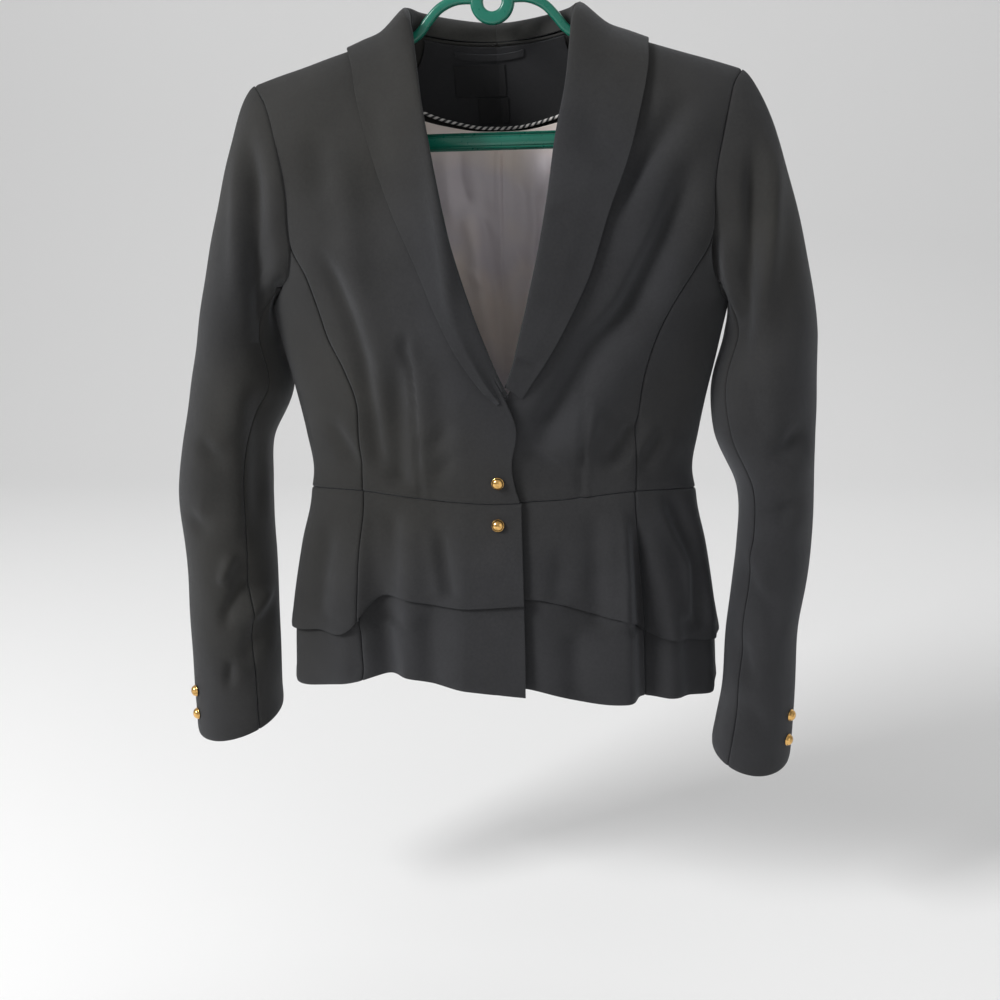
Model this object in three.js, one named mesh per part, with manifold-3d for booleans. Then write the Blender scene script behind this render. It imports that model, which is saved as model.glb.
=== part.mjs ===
// Women's peplum jacket with a shawl collar, hanging on a moulded hanger.
// Millimetres, +Z up. The front faces -Y, and the origin lies under the crown of the hanger's hook.
// Right and left are the wearer's: right is at negative X. "Own" x is measured towards the piece's own side.
import * as THREE from 'three';
import { mergeVertices } from 'three/addons/utils/BufferGeometryUtils.js';
import Module from 'manifold-3d';

const wasm = await Module();
wasm.setup();

const DEG = Math.PI / 180;
const SIDES = [
  { name: 'right', sx: -1 },
  { name: 'left', sx: 1 },
];
const FRONT = -1;
const BACK = 1;

// Cloth thicknesses, and how far each cut edge stands back from its seam line.
const BODY_CLOTH = 1.6;
const PEPLUM_CLOTH = 1.2;
const COLLAR_CLOTH = 1.6;
const FACING_CLOTH = 1.0;
const LABEL_CLOTH = 0.7;
const SEAM = 0.17;
const LAYER_GAP = 1.6;
const ON_PLANE = 1e-6;
const HEART_DROP = 60;

// Shoulder line: from the neck point out to the shoulder point.
const NECK = { x: 75, z: -126 };
const SHOULDER_X = 211;
const SHOULDER_SLOPE = 16.8 * DEG;
const RIDGE_ROUND = 30;
const RIDGE_SHARE = 0.2;
const BACK_SWELL = 120;
const FRONT_SWELL = { centre: 240, armhole: 120, from: 80, to: 200 };

// Half width and depths of the body at heights, as an oval in plan.
const BODY = [
  { z: -100, half: 232, front: 78, back: 58 },
  { z: -170, half: 228, front: 76, back: 60 },
  { z: -230, half: 220, front: 79, back: 61 },
  { z: -300, half: 212, front: 83, back: 60 },
  { z: -360, half: 203, front: 84, back: 58 },
  { z: -400, half: 194, front: 83, back: 56 },
  { z: -435, half: 186, front: 79, back: 54 },
  { z: -475, half: 178, front: 71, back: 50 },
  { z: -510, half: 173.5, front: 63, back: 47 },
  { z: -530, half: 177, front: 62, back: 48 },
];

// Height of the waist seam by the angle round the body, from the centre front.
const WAIST = [
  { angle: 0, z: -529.4 },
  { angle: 20, z: -526.5 },
  { angle: 42, z: -521.5 },
  { angle: 62, z: -522 },
  { angle: 90, z: -525 },
  { angle: 135, z: -528 },
  { angle: 180, z: -530 },
];

// Grid rows shared by the pieces that meet: the princess seam has the first, the armhole the rest.
const PRINCESS_ROWS = 8;
const BODY_ROWS = 14;
const UNDERARM_Z = -360;
const FRONT_COLUMNS = 8;
const SIDE_COLUMNS = 4;
const NECK_COLUMNS = 4;

// Outer edge of the front: princess seam, then the armhole up to the shoulder point.
const FRONT_OUTER = [
  { row: 0, right: 119, left: 124, z: -521.5 },
  { row: 1, right: 118.5, left: 123.5, z: -500 },
  { row: 2, right: 117.8, left: 124.5, z: -470 },
  { row: 3, right: 118.5, left: 127.5, z: -440 },
  { row: 4, right: 128, left: 132, z: -412 },
  { row: 5, right: 141, left: 140, z: -386 },
  { row: 6, right: 149.5, left: 153, z: -360 },
  { row: 7, right: 160, left: 171, z: -332 },
  { row: 8, right: 174.5, left: 185.5, z: -305 },
  { row: 9, right: 177, left: 188, z: -264 },
  { row: 10, right: 186, left: 195, z: -226 },
  { row: 11, right: 195.5, left: 201.5, z: -196 },
  { row: 12, right: 204, left: 205.5, z: -177.5 },
  { row: 13, right: 209.3, left: 209.5, z: -169.8 },
  { row: 14, right: 211, left: 211, z: -167 },
];

// Inner edge of each front: front edge from the waist, then the seam under the collar's roll.
const FRONT_INNER = {
  right: [
    { row: 0, x: -24.5, z: -529.4 },
    { row: 1, x: -19.5, z: -511 },
    { row: 2, x: -18.5, z: -493 },
    { row: 3, x: -23.5, z: -466 },
    { row: 4, x: -17.5, z: -444 },
    { row: 5, x: -4, z: -414 },
    { row: 6, x: 10, z: -381 },
    { row: 7, x: 22, z: -347 },
    { row: 8, x: 34, z: -310 },
    { row: 9, x: 46, z: -268 },
    { row: 10, x: 57, z: -222 },
    { row: 11, x: 66, z: -174 },
    { row: 12, x: 71.5, z: -143 },
    { row: 13, x: 74.3, z: -129.5 },
    { row: 14, x: 75, z: -126 },
  ],
  left: [
    { row: 0, x: -14, z: -529.4 },
    { row: 1, x: -14, z: -508 },
    { row: 2, x: -13, z: -486 },
    { row: 3, x: -6, z: -463 },
    { row: 4, x: 13, z: -440 },
    { row: 5, x: 26.4, z: -413 },
    { row: 6, x: 34, z: -382 },
    { row: 7, x: 42.5, z: -350 },
    { row: 8, x: 50.5, z: -314 },
    { row: 9, x: 57.5, z: -272 },
    { row: 10, x: 63, z: -228 },
    { row: 11, x: 71, z: -184 },
    { row: 12, x: 75, z: -150 },
    { row: 13, x: 75.3, z: -130 },
    { row: 14, x: 75, z: -126 },
  ],
};

// Outer edge of the back: back princess seam, then the armhole. Inner edge: the centre back seam.
const BACK_OUTER = [
  { row: 0, x: 88, z: -529 },
  { row: 1, x: 90, z: -505 },
  { row: 2, x: 94, z: -475 },
  { row: 3, x: 101, z: -445 },
  { row: 4, x: 112, z: -412 },
  { row: 5, x: 128, z: -380 },
  { row: 6, x: 148, z: -350 },
  { row: 7, x: 170, z: -318 },
  { row: 8, x: 188.5, z: -288 },
  { row: 9, x: 191, z: -256 },
  { row: 10, x: 194, z: -224 },
  { row: 11, x: 200, z: -195 },
  { row: 12, x: 205, z: -177.5 },
  { row: 13, x: 209.4, z: -169.8 },
  { row: 14, x: 211, z: -167 },
];
const BACK_CENTRE = [
  { row: 0, z: -530 },
  { row: 4, z: -410 },
  { row: 8, z: -285 },
  { row: 9, z: -247 },
  { row: 10, z: -213 },
  { row: 11, z: -184 },
  { row: 12, z: -160 },
  { row: 13, z: -143 },
  { row: 14, z: -135 },
];
const BACK_NECK_Z = -135;

// The right front lies over the left one, so it stands out by its own thickness and more.
const OVERLAP = { lift: 5.4, flare: 3.4, full: 20, none: 62 };

// Sleeves: outermost and innermost own x, foremost and rearmost y, at heights from the upper arm down.
const SLEEVE = {
  right: [
    { z: -310, outer: 259, inner: 205, front: -50, back: 56 },
    { z: -390, outer: 274, inner: 200, front: -57, back: 58 },
    { z: -430, outer: 283, inner: 191, front: -58, back: 56 },
    { z: -483, outer: 293, inner: 212, front: -57, back: 50 },
    { z: -520, outer: 299, inner: 214, front: -56, back: 45 },
    { z: -575, outer: 296, inner: 213, front: -57, back: 37 },
    { z: -640, outer: 294, inner: 212, front: -57, back: 29 },
    { z: -700, outer: 294, inner: 211, front: -56, back: 22 },
    { z: -742, outer: 293, inner: 211, front: -55, back: 19 },
  ],
  left: [
    { z: -310, outer: 272, inner: 205, front: -50, back: 56 },
    { z: -390, outer: 279, inner: 199, front: -57, back: 58 },
    { z: -440, outer: 280, inner: 188, front: -58, back: 56 },
    { z: -473, outer: 279, inner: 191, front: -57, back: 52 },
    { z: -521, outer: 279, inner: 212, front: -56, back: 45 },
    { z: -575, outer: 277, inner: 212, front: -57, back: 37 },
    { z: -645, outer: 268, inner: 204, front: -57, back: 29 },
    { z: -715, outer: 266, inner: 201, front: -56, back: 22 },
    { z: -762, outer: 262, inner: 193, front: -55, back: 19 },
  ],
};
const CUFF = {
  right: { z: -742, slant: 8, dip: 14 },
  left: { z: -762, slant: 3, dip: 14 },
};
const CUFF_DIP_FROM = 130;
const CAP_START = 0.1;
const CAP_END = 0.36;
const CAP_RISE_MOST = 80;
const CAP_LEAN = { side: -0.35, down: -0.3 };
const CAP_SHARE = 0.4;
const UPPER_ARM_Z = -390;
const CAP_STEPS = [0, 0.06, 0.16, 0.3, 0.5, 0.74, 1];
const ARM_STEPS = [0.09, 0.19, 0.29, 0.39, 0.5, 0.63, 0.77, 0.89, 1];
const SLEEVE_RAILS = 20;
const FRONT_SEAM_RAIL = 8;
const BACK_SEAM_RAIL = 17;
const CUFF_FRONT_SEAM = 130;
const CUFF_BACK_SEAM = -8;
const SEAM_SHIFT = { from: -400, to: -520 };

// Collar stations from the centre back to the break of the lapel. "at" is a share of the back neck
// seam, or a row of the front's inner edge; the edge is the collar's outer edge on the body.
const COLLAR = {
  right: [
    { on: 'back', at: 0, edgeX: 0, edgeZ: -167, stand: 21, lean: 57, roll: 4, lift: 3.4 },
    { on: 'back', at: 0.36, edgeX: 40, edgeZ: -165, stand: 21, lean: 57, roll: 4, lift: 3.4 },
    { on: 'back', at: 0.68, edgeX: 80, edgeZ: -159, stand: 20, lean: 58, roll: 4, lift: 3.4 },
    { on: 'back', at: 0.9, edgeX: 108, edgeZ: -150, stand: 19, lean: 60, roll: 4, lift: 3.4 },
    { on: 'front', at: 14, edgeX: 124.5, edgeZ: -141, stand: 17, lean: 62, roll: 4, lift: 3.4 },
    { on: 'front', at: 13, edgeX: 122, edgeZ: -149, stand: 15, lean: 54, roll: 4, lift: 3.6 },
    { on: 'front', at: 12, edgeX: 118, edgeZ: -160, stand: 11, lean: 34, roll: 4, lift: 3.6 },
    { on: 'front', at: 11, edgeX: 112, edgeZ: -189, stand: 9, lean: 22, roll: 4, lift: 3.6 },
    { on: 'front', at: 10, edgeX: 100, edgeZ: -228, stand: 8, lean: 18, roll: 4, lift: 3.4 },
    { on: 'front', at: 9, edgeX: 79, edgeZ: -280, stand: 7.5, lean: 18, roll: 4, lift: 3.2 },
    { on: 'front', at: 8, edgeX: 57.5, edgeZ: -326, stand: 7, lean: 18, roll: 4, lift: 3 },
    { on: 'front', at: 7, edgeX: 40, edgeZ: -367, stand: 6.5, lean: 20, roll: 3.6, lift: 3.4 },
    { on: 'front', at: 6, edgeX: 24.5, edgeZ: -398, stand: 6, lean: 22, roll: 3.2, lift: 3.4 },
    { on: 'front', at: 5, edgeX: 5, edgeZ: -427, stand: 5, lean: 24, roll: 2.8, lift: 3.3 },
    { on: 'front', at: 4.3, edgeX: -8, edgeZ: -440.5, stand: 4, lean: 26, roll: 2.4, lift: 3.2 },
  ],
  left: [
    { on: 'back', at: 0, edgeX: 0, edgeZ: -167, stand: 21, lean: 57, roll: 4, lift: 3.4 },
    { on: 'back', at: 0.36, edgeX: 40, edgeZ: -165, stand: 20, lean: 57, roll: 4, lift: 3.4 },
    { on: 'back', at: 0.68, edgeX: 82, edgeZ: -159, stand: 19, lean: 58, roll: 4, lift: 3.4 },
    { on: 'back', at: 0.9, edgeX: 112, edgeZ: -151, stand: 18, lean: 60, roll: 4, lift: 3.6 },
    { on: 'front', at: 14, edgeX: 130, edgeZ: -142.6, stand: 16, lean: 62, roll: 4, lift: 4 },
    { on: 'front', at: 13, edgeX: 132, edgeZ: -152, stand: 14, lean: 52, roll: 4, lift: 4.6 },
    { on: 'front', at: 12, edgeX: 132, edgeZ: -169, stand: 10, lean: 32, roll: 4, lift: 5 },
    { on: 'front', at: 11, edgeX: 127.5, edgeZ: -197, stand: 8, lean: 22, roll: 4, lift: 5.6 },
    { on: 'front', at: 10, edgeX: 117, edgeZ: -242, stand: 7, lean: 18, roll: 4, lift: 6 },
    { on: 'front', at: 9, edgeX: 101, edgeZ: -286, stand: 6.5, lean: 18, roll: 4, lift: 6 },
    { on: 'front', at: 8, edgeX: 86, edgeZ: -333, stand: 6.5, lean: 18, roll: 4, lift: 5.6 },
    { on: 'front', at: 7, edgeX: 71, edgeZ: -366, stand: 6.5, lean: 18, roll: 3.6, lift: 5 },
    { on: 'front', at: 6, edgeX: 55, edgeZ: -396, stand: 6, lean: 18, roll: 2.6, lift: 4.6 },
    { on: 'front', at: 5, edgeX: 38, edgeZ: -422, stand: 6.8, lean: 21, roll: 2, lift: 3.4 },
    { on: 'front', at: 4.45, edgeX: 28.5, edgeZ: -436, stand: 6.4, lean: 21, roll: 1.6, lift: 3.4 },
  ],
};
const STAND_BEND = 24;
const STAND_WALL = 0.55;
const CREST_TURN = 75;
const COLLAR_BLEND = { centre: 0.4, shoulder: 1.2 };
const COLLAR_STEP = 0.05;
const FALL_SHARES = [0.4, 0.72, 1];
const COLLAR_SEAT = 0.8;
const COLLAR_ROWS = 21;
const COLLAR_COLUMNS = [0, 0.1, 0.2, 0.3, 0.4, 0.52, 0.68, 0.84, 1];

// Peplum: how much wider and deeper it is than the waist, by the drop below the waist seam.
const FLARE = [
  { drop: 0, half: 0, front: 0, back: 0 },
  { drop: 15, half: 2, front: 2, back: 2 },
  { drop: 50, half: 11, front: 9, back: 10 },
  { drop: 90, half: 19, front: 15, back: 18 },
  { drop: 130, half: 25, front: 20, back: 26 },
  { drop: 180, half: 28, front: 25, back: 32 },
];
const FLUTE_DROP = 130;
const FLUTE_GROWTH = 1.2;
const FLUTE_REACH = 1.2;

// Flutes: centre at the waist and at the hem, reach towards the front and the back in degrees, and
// height at the hem in mm, out or, if negative, in.
const BACK_FLUTES = [
  { waist: 112, hem: 110, fore: 13, aft: 12, height: 8 },
  { waist: 131, hem: 131, fore: 11, aft: 10, height: -8 },
  { waist: 151, hem: 152, fore: 12, aft: 11, height: 9 },
  { waist: 170, hem: 171, fore: 10, aft: 9, height: -6 },
];
const FLUTES = {
  right: [
    { waist: 13, hem: 13, fore: 7, aft: 6, height: -3 },
    { waist: 24, hem: 22, fore: 7, aft: 5, height: 4 },
    { waist: 37, hem: 31, fore: 7, aft: 6, height: -15 },
    { waist: 43, hem: 39, fore: 5, aft: 14, height: 6 },
    { waist: 70, hem: 68, fore: 14, aft: 16, height: 5 },
    ...BACK_FLUTES,
  ],
  left: [
    { waist: 15, hem: 15, fore: 10, aft: 9, height: 4 },
    { waist: 38, hem: 35.5, fore: 15, aft: 5, height: 11 },
    { waist: 42.5, hem: 42, fore: 5, aft: 8, height: -13 },
    { waist: 52, hem: 51, fore: 6, aft: 7, height: 5 },
    { waist: 58, hem: 61, fore: 8, aft: 14, height: -6 },
    { waist: 88, hem: 88, fore: 16, aft: 18, height: -5 },
    ...BACK_FLUTES,
  ],
};

// Hem heights by angle, seams between the panels, and the edges at the front opening.
const HEM = {
  upper: {
    right: [
      { angle: -9, z: -615 }, { angle: 12, z: -618 }, { angle: 26, z: -613 }, { angle: 33.5, z: -618 },
      { angle: 38, z: -637 },
      { angle: 57, z: -650 }, { angle: 90, z: -653 }, { angle: 135, z: -656 }, { angle: 180, z: -658 },
    ],
    left: [
      { angle: -9, z: -614 }, { angle: 15, z: -613 }, { angle: 28, z: -626 }, { angle: 36, z: -631 },
      { angle: 43, z: -645 }, { angle: 58, z: -655 }, { angle: 90, z: -662 }, { angle: 180, z: -658 },
    ],
  },
  lower: {
    right: [
      { angle: -9, z: -696 }, { angle: 11, z: -690 }, { angle: 30, z: -684 }, { angle: 45, z: -697 },
      { angle: 60, z: -705 }, { angle: 90, z: -704 }, { angle: 180, z: -703 },
    ],
    left: [
      { angle: -9, z: -688 }, { angle: 9, z: -691 }, { angle: 24, z: -703 }, { angle: 45, z: -705 },
      { angle: 75, z: -711 }, { angle: 90, z: -709 }, { angle: 180, z: -703 },
    ],
  },
};
const OPENING_ANGLE = { right: -8.3, left: -4.6 };
const OPENING_LIFT = { full: 6.5, none: 18 };
const PEPLUM_SEAMS = {
  right: { frontWaist: 42.3, frontHem: 37.6 },
  left: { frontWaist: 44.5, frontHem: 43 },
};
const BACK_SEAM_ANGLE = 102;
// Below the upper tier's hem the lower tier's flutes calm down to the share given.
const TIERS = [
  { name: 'upper', layer: 0, spread: 0, rows: 5, calm: 1 },
  { name: 'lower', layer: 2.2, spread: 3, rows: 7, calm: 0.55 },
];
const CALM = { from: 104, to: 170 };
const PEPLUM_COLUMNS = { front: 13, side: 9, back: 11 };

// Back neck facing, the piping under it and the lining below that.
const PIPING_ROUND = 1.5;
const PIPING_SIDES = 6;
const PIPING_STEPS = 20;
const PIPING_LINE = [
  { x: 0, z: -205 }, { x: 20, z: -204 }, { x: 40, z: -200 }, { x: 58, z: -195 }, { x: 84, z: -184 },
];
const FACING_TOP_X = 62;
const FACING_TOP_GAP = 2;
const LABEL_GAP = 0.35;
const FACING_LOW_X = 84;
const LINING_EDGE = [
  { z: -212, angle: 48 }, { z: -280, angle: 55 }, { z: -340, angle: 60 }, { z: -420, angle: 62 },
  { z: -496, angle: 62 },
];
const LINING_GAP = 2;
const LINING_TOP_Z = -212;
const LINING_LOW_Z = -496;
const LINING_CORNER_DROP = 14;
const LOOP = { x0: -37, x1: 25, z: -138.5, width: 5, sag: 3.5, cloth: 1 };
const LABELS = [
  { name: 'neck_label', x0: -39, x1: 7, top: -150, low: -176 },
  { name: 'size_label', x0: -20, x1: 8.5, top: -177.5, low: -199 },
];

// Dome buttons: two at the waist, two by the slit of each cuff.
const BUTTON = { round: 5.5, back: 4.4, shoulder: 5.28, rim: 1.2, dome: 3.6, seat: 0.9, steps: 14 };
const WAIST_BUTTONS = [
  { name: 'waist_button_upper', x: 5.8, z: -510 },
  { name: 'waist_button_lower', x: 5.6, z: -547 },
];
const CUFF_BUTTONS = { right: [-702, -722], left: [-716, -737] };
const CUFF_BUTTON_RAIL = 20.5;
const CUFF_BUTTON_SEAT = 0.4;

// Hanger: one moulding with hook, ring, arms and trouser bar.
const HANGER = { depth: 8, edge: 1.2, band: 8, hookRound: 24, hookDrop: -20 };
const HOOK_TURN = { tip: 205, neck: -30 };
const SHANK = [[12, -47], [2.5, -60], [0.4, -74], [0.7, -90]];
const ARM_INNER = [[14, -103], [31, -103.5], [45, -109.5], [55, -119.5], [63, -129], [71, -134.2]];
const ARM_END = [[192, -173], [200, -182], [201, -195], [195, -208], [183, -216.5], [170, -219.5]];
const RING = { x: 0.7, z: -105.5, outer: 19, inner: 8 };
const BAR = {
  z: -220.5, height: 15, half: 180, groove: 2, grooveLength: 344, grooveDeep: 1.4, grooveFrom: 4.6,
};
const ARM_CLEAR = 4.6;
const ARM_STOPS = [80, 110, 150, 176];

const BLACK = new THREE.Color(0x26272a);
const MATERIALS = {
  suiting: { color: BLACK, roughness: 0.85, metalness: 0 },
  facing: { color: new THREE.Color(0x1c1d20), roughness: 0.8, metalness: 0 },
  lining: { color: new THREE.Color(0xb9aba8), roughness: 0.45, metalness: 0 },
  piping: { color: new THREE.Color(0x8b8b8d), roughness: 0.6, metalness: 0 },
  label: { color: new THREE.Color(0x121214), roughness: 0.5, metalness: 0 },
  brass: { color: new THREE.Color(0xc58a35), roughness: 0.25, metalness: 1 },
  plastic: { color: new THREE.Color(0x1c735f), roughness: 0.35, metalness: 0 },
};

const clamp = (value, low, high) => Math.min(high, Math.max(low, value));
const lerp = (a, b, t) => a + (b - a) * t;
const smooth = (from, to, value) => {
  const t = clamp((value - from) / (to - from), 0, 1);
  return t * t * (3 - 2 * t);
};
const even = (count) => Array.from({ length: count + 1 }, (_, i) => i / count);

// Smooth curve through one column of a table: cubic pieces with weighted mean slopes.
function track(rows, key, column) {
  const sorted = [...rows].sort((a, b) => a[key] - b[key]);
  const knots = sorted.map((row) => row[key]);
  const values = sorted.map((row) => row[column]);
  const last = knots.length - 1;
  const spans = knots.slice(1).map((knot, i) => knot - knots[i]);
  const rises = spans.map((span, i) => (values[i + 1] - values[i]) / span);
  const slopes = values.map((_, i) => {
    if (i === 0) return rises[0];
    if (i === last) return rises[last - 1];
    return (rises[i - 1] * spans[i] + rises[i] * spans[i - 1]) / (spans[i] + spans[i - 1]);
  });
  return (at) => {
    const t = clamp(at, knots[0], knots[last]);
    let i = 0;
    while (i < last - 1 && t > knots[i + 1]) i += 1;
    const s = (t - knots[i]) / spans[i];
    const s2 = s * s;
    const s3 = s2 * s;
    return (2 * s3 - 3 * s2 + 1) * values[i] + (s3 - 2 * s2 + s) * spans[i] * slopes[i]
      + (3 * s2 - 2 * s3) * values[i + 1] + (s3 - s2) * spans[i] * slopes[i + 1];
  };
}

const bodyHalf = track(BODY, 'z', 'half');
const bodyDepth = { [FRONT]: track(BODY, 'z', 'front'), [BACK]: track(BODY, 'z', 'back') };
const waistZ = track(WAIST, 'angle', 'z');
const shoulderZ = (x) => NECK.z - (Math.abs(x) - NECK.x) * Math.tan(SHOULDER_SLOPE);

// Share of the full depth that the cloth has reached below the shoulder ridge.
function ridgeShare(x, z, side) {
  const below = Math.max(shoulderZ(x) - z, 0);
  const outward = smooth(FRONT_SWELL.from, FRONT_SWELL.to, Math.abs(x));
  const swell = side === BACK ? BACK_SWELL : lerp(FRONT_SWELL.centre, FRONT_SWELL.armhole, outward);
  const turn = clamp(below / RIDGE_ROUND, 0, 1);
  const full = clamp(below / swell, 0, 1);
  return RIDGE_SHARE * Math.sqrt(1 - (1 - turn) ** 2) + (1 - RIDGE_SHARE) * Math.sin(full * Math.PI / 2);
}

// Point of the body's skin at an angle from the centre line and a height.
function bodyPoint(angle, z, side) {
  const x = bodyHalf(z) * Math.sin(angle);
  const y = side * bodyDepth[side](z) * Math.cos(angle) * ridgeShare(x, z, side);
  return new THREE.Vector3(x, y, z);
}

const angleOf = (x, z) => Math.asin(clamp(x / bodyHalf(z), -1, 1));
const spot = (x, z) => ({ angle: angleOf(x, z), z });
const mixSpots = (a, b, t) => ({ angle: lerp(a.angle, b.angle, t), z: lerp(a.z, b.z, t) });

// Surface patch between four edges that are functions from 0 to 1 to spots on the body.
function patch(inner, outer, low, top) {
  return (u, v) => {
    const across = mixSpots(inner(v), outer(v), u);
    const lowLine = mixSpots(inner(0), outer(0), u);
    const topLine = mixSpots(inner(1), outer(1), u);
    const lowSpot = low(u);
    const topSpot = top(u);
    return {
      angle: across.angle + (1 - v) * (lowSpot.angle - lowLine.angle) + v * (topSpot.angle - topLine.angle),
      z: across.z + (1 - v) * (lowSpot.z - lowLine.z) + v * (topSpot.z - topLine.z),
    };
  };
}

// Edge that follows a table of rows, from one row to another.
function rowEdge(rows, column, first, last) {
  const x = track(rows, 'row', column);
  const z = track(rows, 'row', 'z');
  return (t) => {
    const row = lerp(first, last, t);
    return spot(x(row), z(row));
  };
}

const waistEdge = (from, to, back) => (u) => {
  const angle = lerp(from, to, u);
  const round = Math.abs(back ? 180 - angle / DEG : angle / DEG);
  return { angle, z: waistZ(round) };
};

// Lower quarter of the armhole, from a seam's top to the underarm.
const armholeEdge = (from) => (t) => ({
  angle: lerp(Math.PI / 2, from.angle, Math.cos(t * Math.PI / 2)),
  z: lerp(from.z, UNDERARM_Z, Math.sin(t * Math.PI / 2)),
});

const sideSeam = (t) => ({ angle: Math.PI / 2, z: lerp(waistZ(90), UNDERARM_Z, t) });
const shoulderEdge = (from) => (u) => {
  const x = lerp(from, SHOULDER_X, u);
  return spot(x, shoulderZ(x));
};

// Back neck seam: a shallow curve from the centre back to the neck point.
function neckSeam(t) {
  const x = NECK.x * t;
  const z = lerp(BACK_NECK_Z, NECK.z, t * t);
  return spot(x, Math.min(z, shoulderZ(x)));
}

// Normal of a surface of two parameters, by differences.
function normalAt(surface, u, v) {
  const step = 1e-3;
  const along = surface(Math.min(u + step, 1), v).sub(surface(Math.max(u - step, 0), v));
  const up = surface(u, Math.min(v + step, 1)).sub(surface(u, Math.max(v - step, 0)));
  return along.cross(up).normalize();
}

// Triangles of a closed shell from the skin and the inside of a grid, joined round the rim.
function shellGeometry(skin, inside) {
  const columns = skin.length;
  const rows = skin[0].length;
  const positions = [];
  for (const grid of [skin, inside]) {
    for (const line of grid) for (const p of line) positions.push(p.x, p.y, p.z);
  }
  const at = (i, j, layer) => layer * columns * rows + i * rows + j;
  const faces = [];
  const quad = (a, b, c, d) => faces.push(a, b, c, a, c, d);
  for (let i = 0; i < columns - 1; i += 1) {
    for (let j = 0; j < rows - 1; j += 1) {
      quad(at(i, j, 0), at(i + 1, j, 0), at(i + 1, j + 1, 0), at(i, j + 1, 0));
      quad(at(i, j, 1), at(i, j + 1, 1), at(i + 1, j + 1, 1), at(i + 1, j, 1));
    }
    quad(at(i, 0, 1), at(i + 1, 0, 1), at(i + 1, 0, 0), at(i, 0, 0));
    quad(at(i, rows - 1, 0), at(i + 1, rows - 1, 0), at(i + 1, rows - 1, 1), at(i, rows - 1, 1));
  }
  for (let j = 0; j < rows - 1; j += 1) {
    quad(at(0, j, 0), at(0, j + 1, 0), at(0, j + 1, 1), at(0, j, 1));
    quad(at(columns - 1, j, 1), at(columns - 1, j + 1, 1), at(columns - 1, j + 1, 0), at(columns - 1, j, 0));
  }
  return solidGeometry(positions, faces);
}

// Indexed geometry whose faces point outwards.
function solidGeometry(positions, faces) {
  const corner = (k) => new THREE.Vector3().fromArray(positions, 3 * k);
  let volume = 0;
  for (let k = 0; k < faces.length; k += 3) {
    volume += corner(faces[k]).dot(corner(faces[k + 1]).cross(corner(faces[k + 2])));
  }
  if (volume < 0) {
    for (let k = 0; k < faces.length; k += 3) [faces[k], faces[k + 1]] = [faces[k + 1], faces[k]];
  }
  const geometry = new THREE.BufferGeometry();
  geometry.setAttribute('position', new THREE.Float32BufferAttribute(positions, 3));
  geometry.setIndex(faces);
  return geometry;
}

// Cloth wall over a surface: its skin lies on the surface plus an offset, its inside one thickness in.
// On a plane of symmetry the wall is cut along that plane, and at a level edge it is cut level.
function clothWall(surface, options) {
  const { us, vs, cloth, offset = () => 0, probe = [0.5, 0.5], level = [] } = options;
  const sample = surface(...probe);
  const heart = options.heart ?? new THREE.Vector3(sample.x / 2, 0, sample.z - HEART_DROP);
  const outward = Math.sign(normalAt(surface, ...probe).dot(sample.clone().sub(heart)));
  const square = (u, v) => {
    const normal = normalAt(surface, u, v).multiplyScalar(outward);
    const point = surface(u, v);
    if (Math.abs(point.x) < ON_PLANE) normal.x = 0;
    if (Math.abs(point.y) < ON_PLANE) normal.y = 0;
    if (level.includes(v)) normal.z = 0;
    return normal.normalize();
  };
  const normals = us.map((u) => vs.map((v) => square(u, v)));
  const skin = us.map((u, i) => vs.map((v, j) => surface(u, v).addScaledVector(normals[i][j], offset(u, v))));
  const pull = (i, j, i2, j2) => skin[i2][j2].clone().sub(skin[i][j]).setLength(SEAM);
  const last = { i: us.length - 1, j: vs.length - 1 };
  const shifts = us.map((_, i) => vs.map((__, j) => {
    const shift = new THREE.Vector3();
    if (i === 0) shift.add(pull(0, j, 1, j));
    if (i === last.i) shift.add(pull(last.i, j, last.i - 1, j));
    if (j === 0) shift.add(pull(i, 0, i, 1));
    if (j === last.j) shift.add(pull(i, last.j, i, last.j - 1));
    return shift;
  }));
  skin.forEach((line, i) => line.forEach((p, j) => p.add(shifts[i][j])));
  const inside = skin.map((line, i) => line.map((p, j) => p.clone().addScaledVector(normals[i][j], -cloth)));
  return shellGeometry(skin, inside);
}

const jacket = new THREE.Group();

function addPiece(name, geometry, look) {
  const mesh = new THREE.Mesh(geometry, new THREE.MeshStandardMaterial(MATERIALS[look]));
  mesh.name = name;
  jacket.add(mesh);
  return mesh;
}

const mirror = (point, sx) => new THREE.Vector3(point.x * sx, point.y, point.z);

// How far the right front stands out over the left one, at an own x.
const overlapShare = (ownX) => 1 - smooth(OVERLAP.full, OVERLAP.none, ownX);
const frontLift = (side, ownX) => (side.name === 'right' ? OVERLAP.lift * overlapShare(ownX) : 0);

// Surface of each front, with the overlap's lift in it, from the centre out and the waist up.
function frontSurface(side) {
  const inner = rowEdge(FRONT_INNER[side.name], 'x', 0, BODY_ROWS);
  const outer = rowEdge(FRONT_OUTER, side.name, 0, BODY_ROWS);
  const low = waistEdge(inner(0).angle, outer(0).angle, false);
  const map = patch(inner, outer, low, shoulderEdge(NECK.x));
  return (u, v) => {
    const place = map(u, v);
    const point = bodyPoint(place.angle, place.z, FRONT);
    point.y -= frontLift(side, point.x);
    return mirror(point, side.sx);
  };
}

const rowSteps = even(BODY_ROWS);
const sideSteps = even(PRINCESS_ROWS);

function addFronts() {
  for (const side of SIDES) {
    addPiece(`front_${side.name}`, clothWall(frontSurface(side), {
      us: even(FRONT_COLUMNS), vs: rowSteps, cloth: BODY_CLOTH, level: [0],
    }), 'suiting');
  }
}

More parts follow.
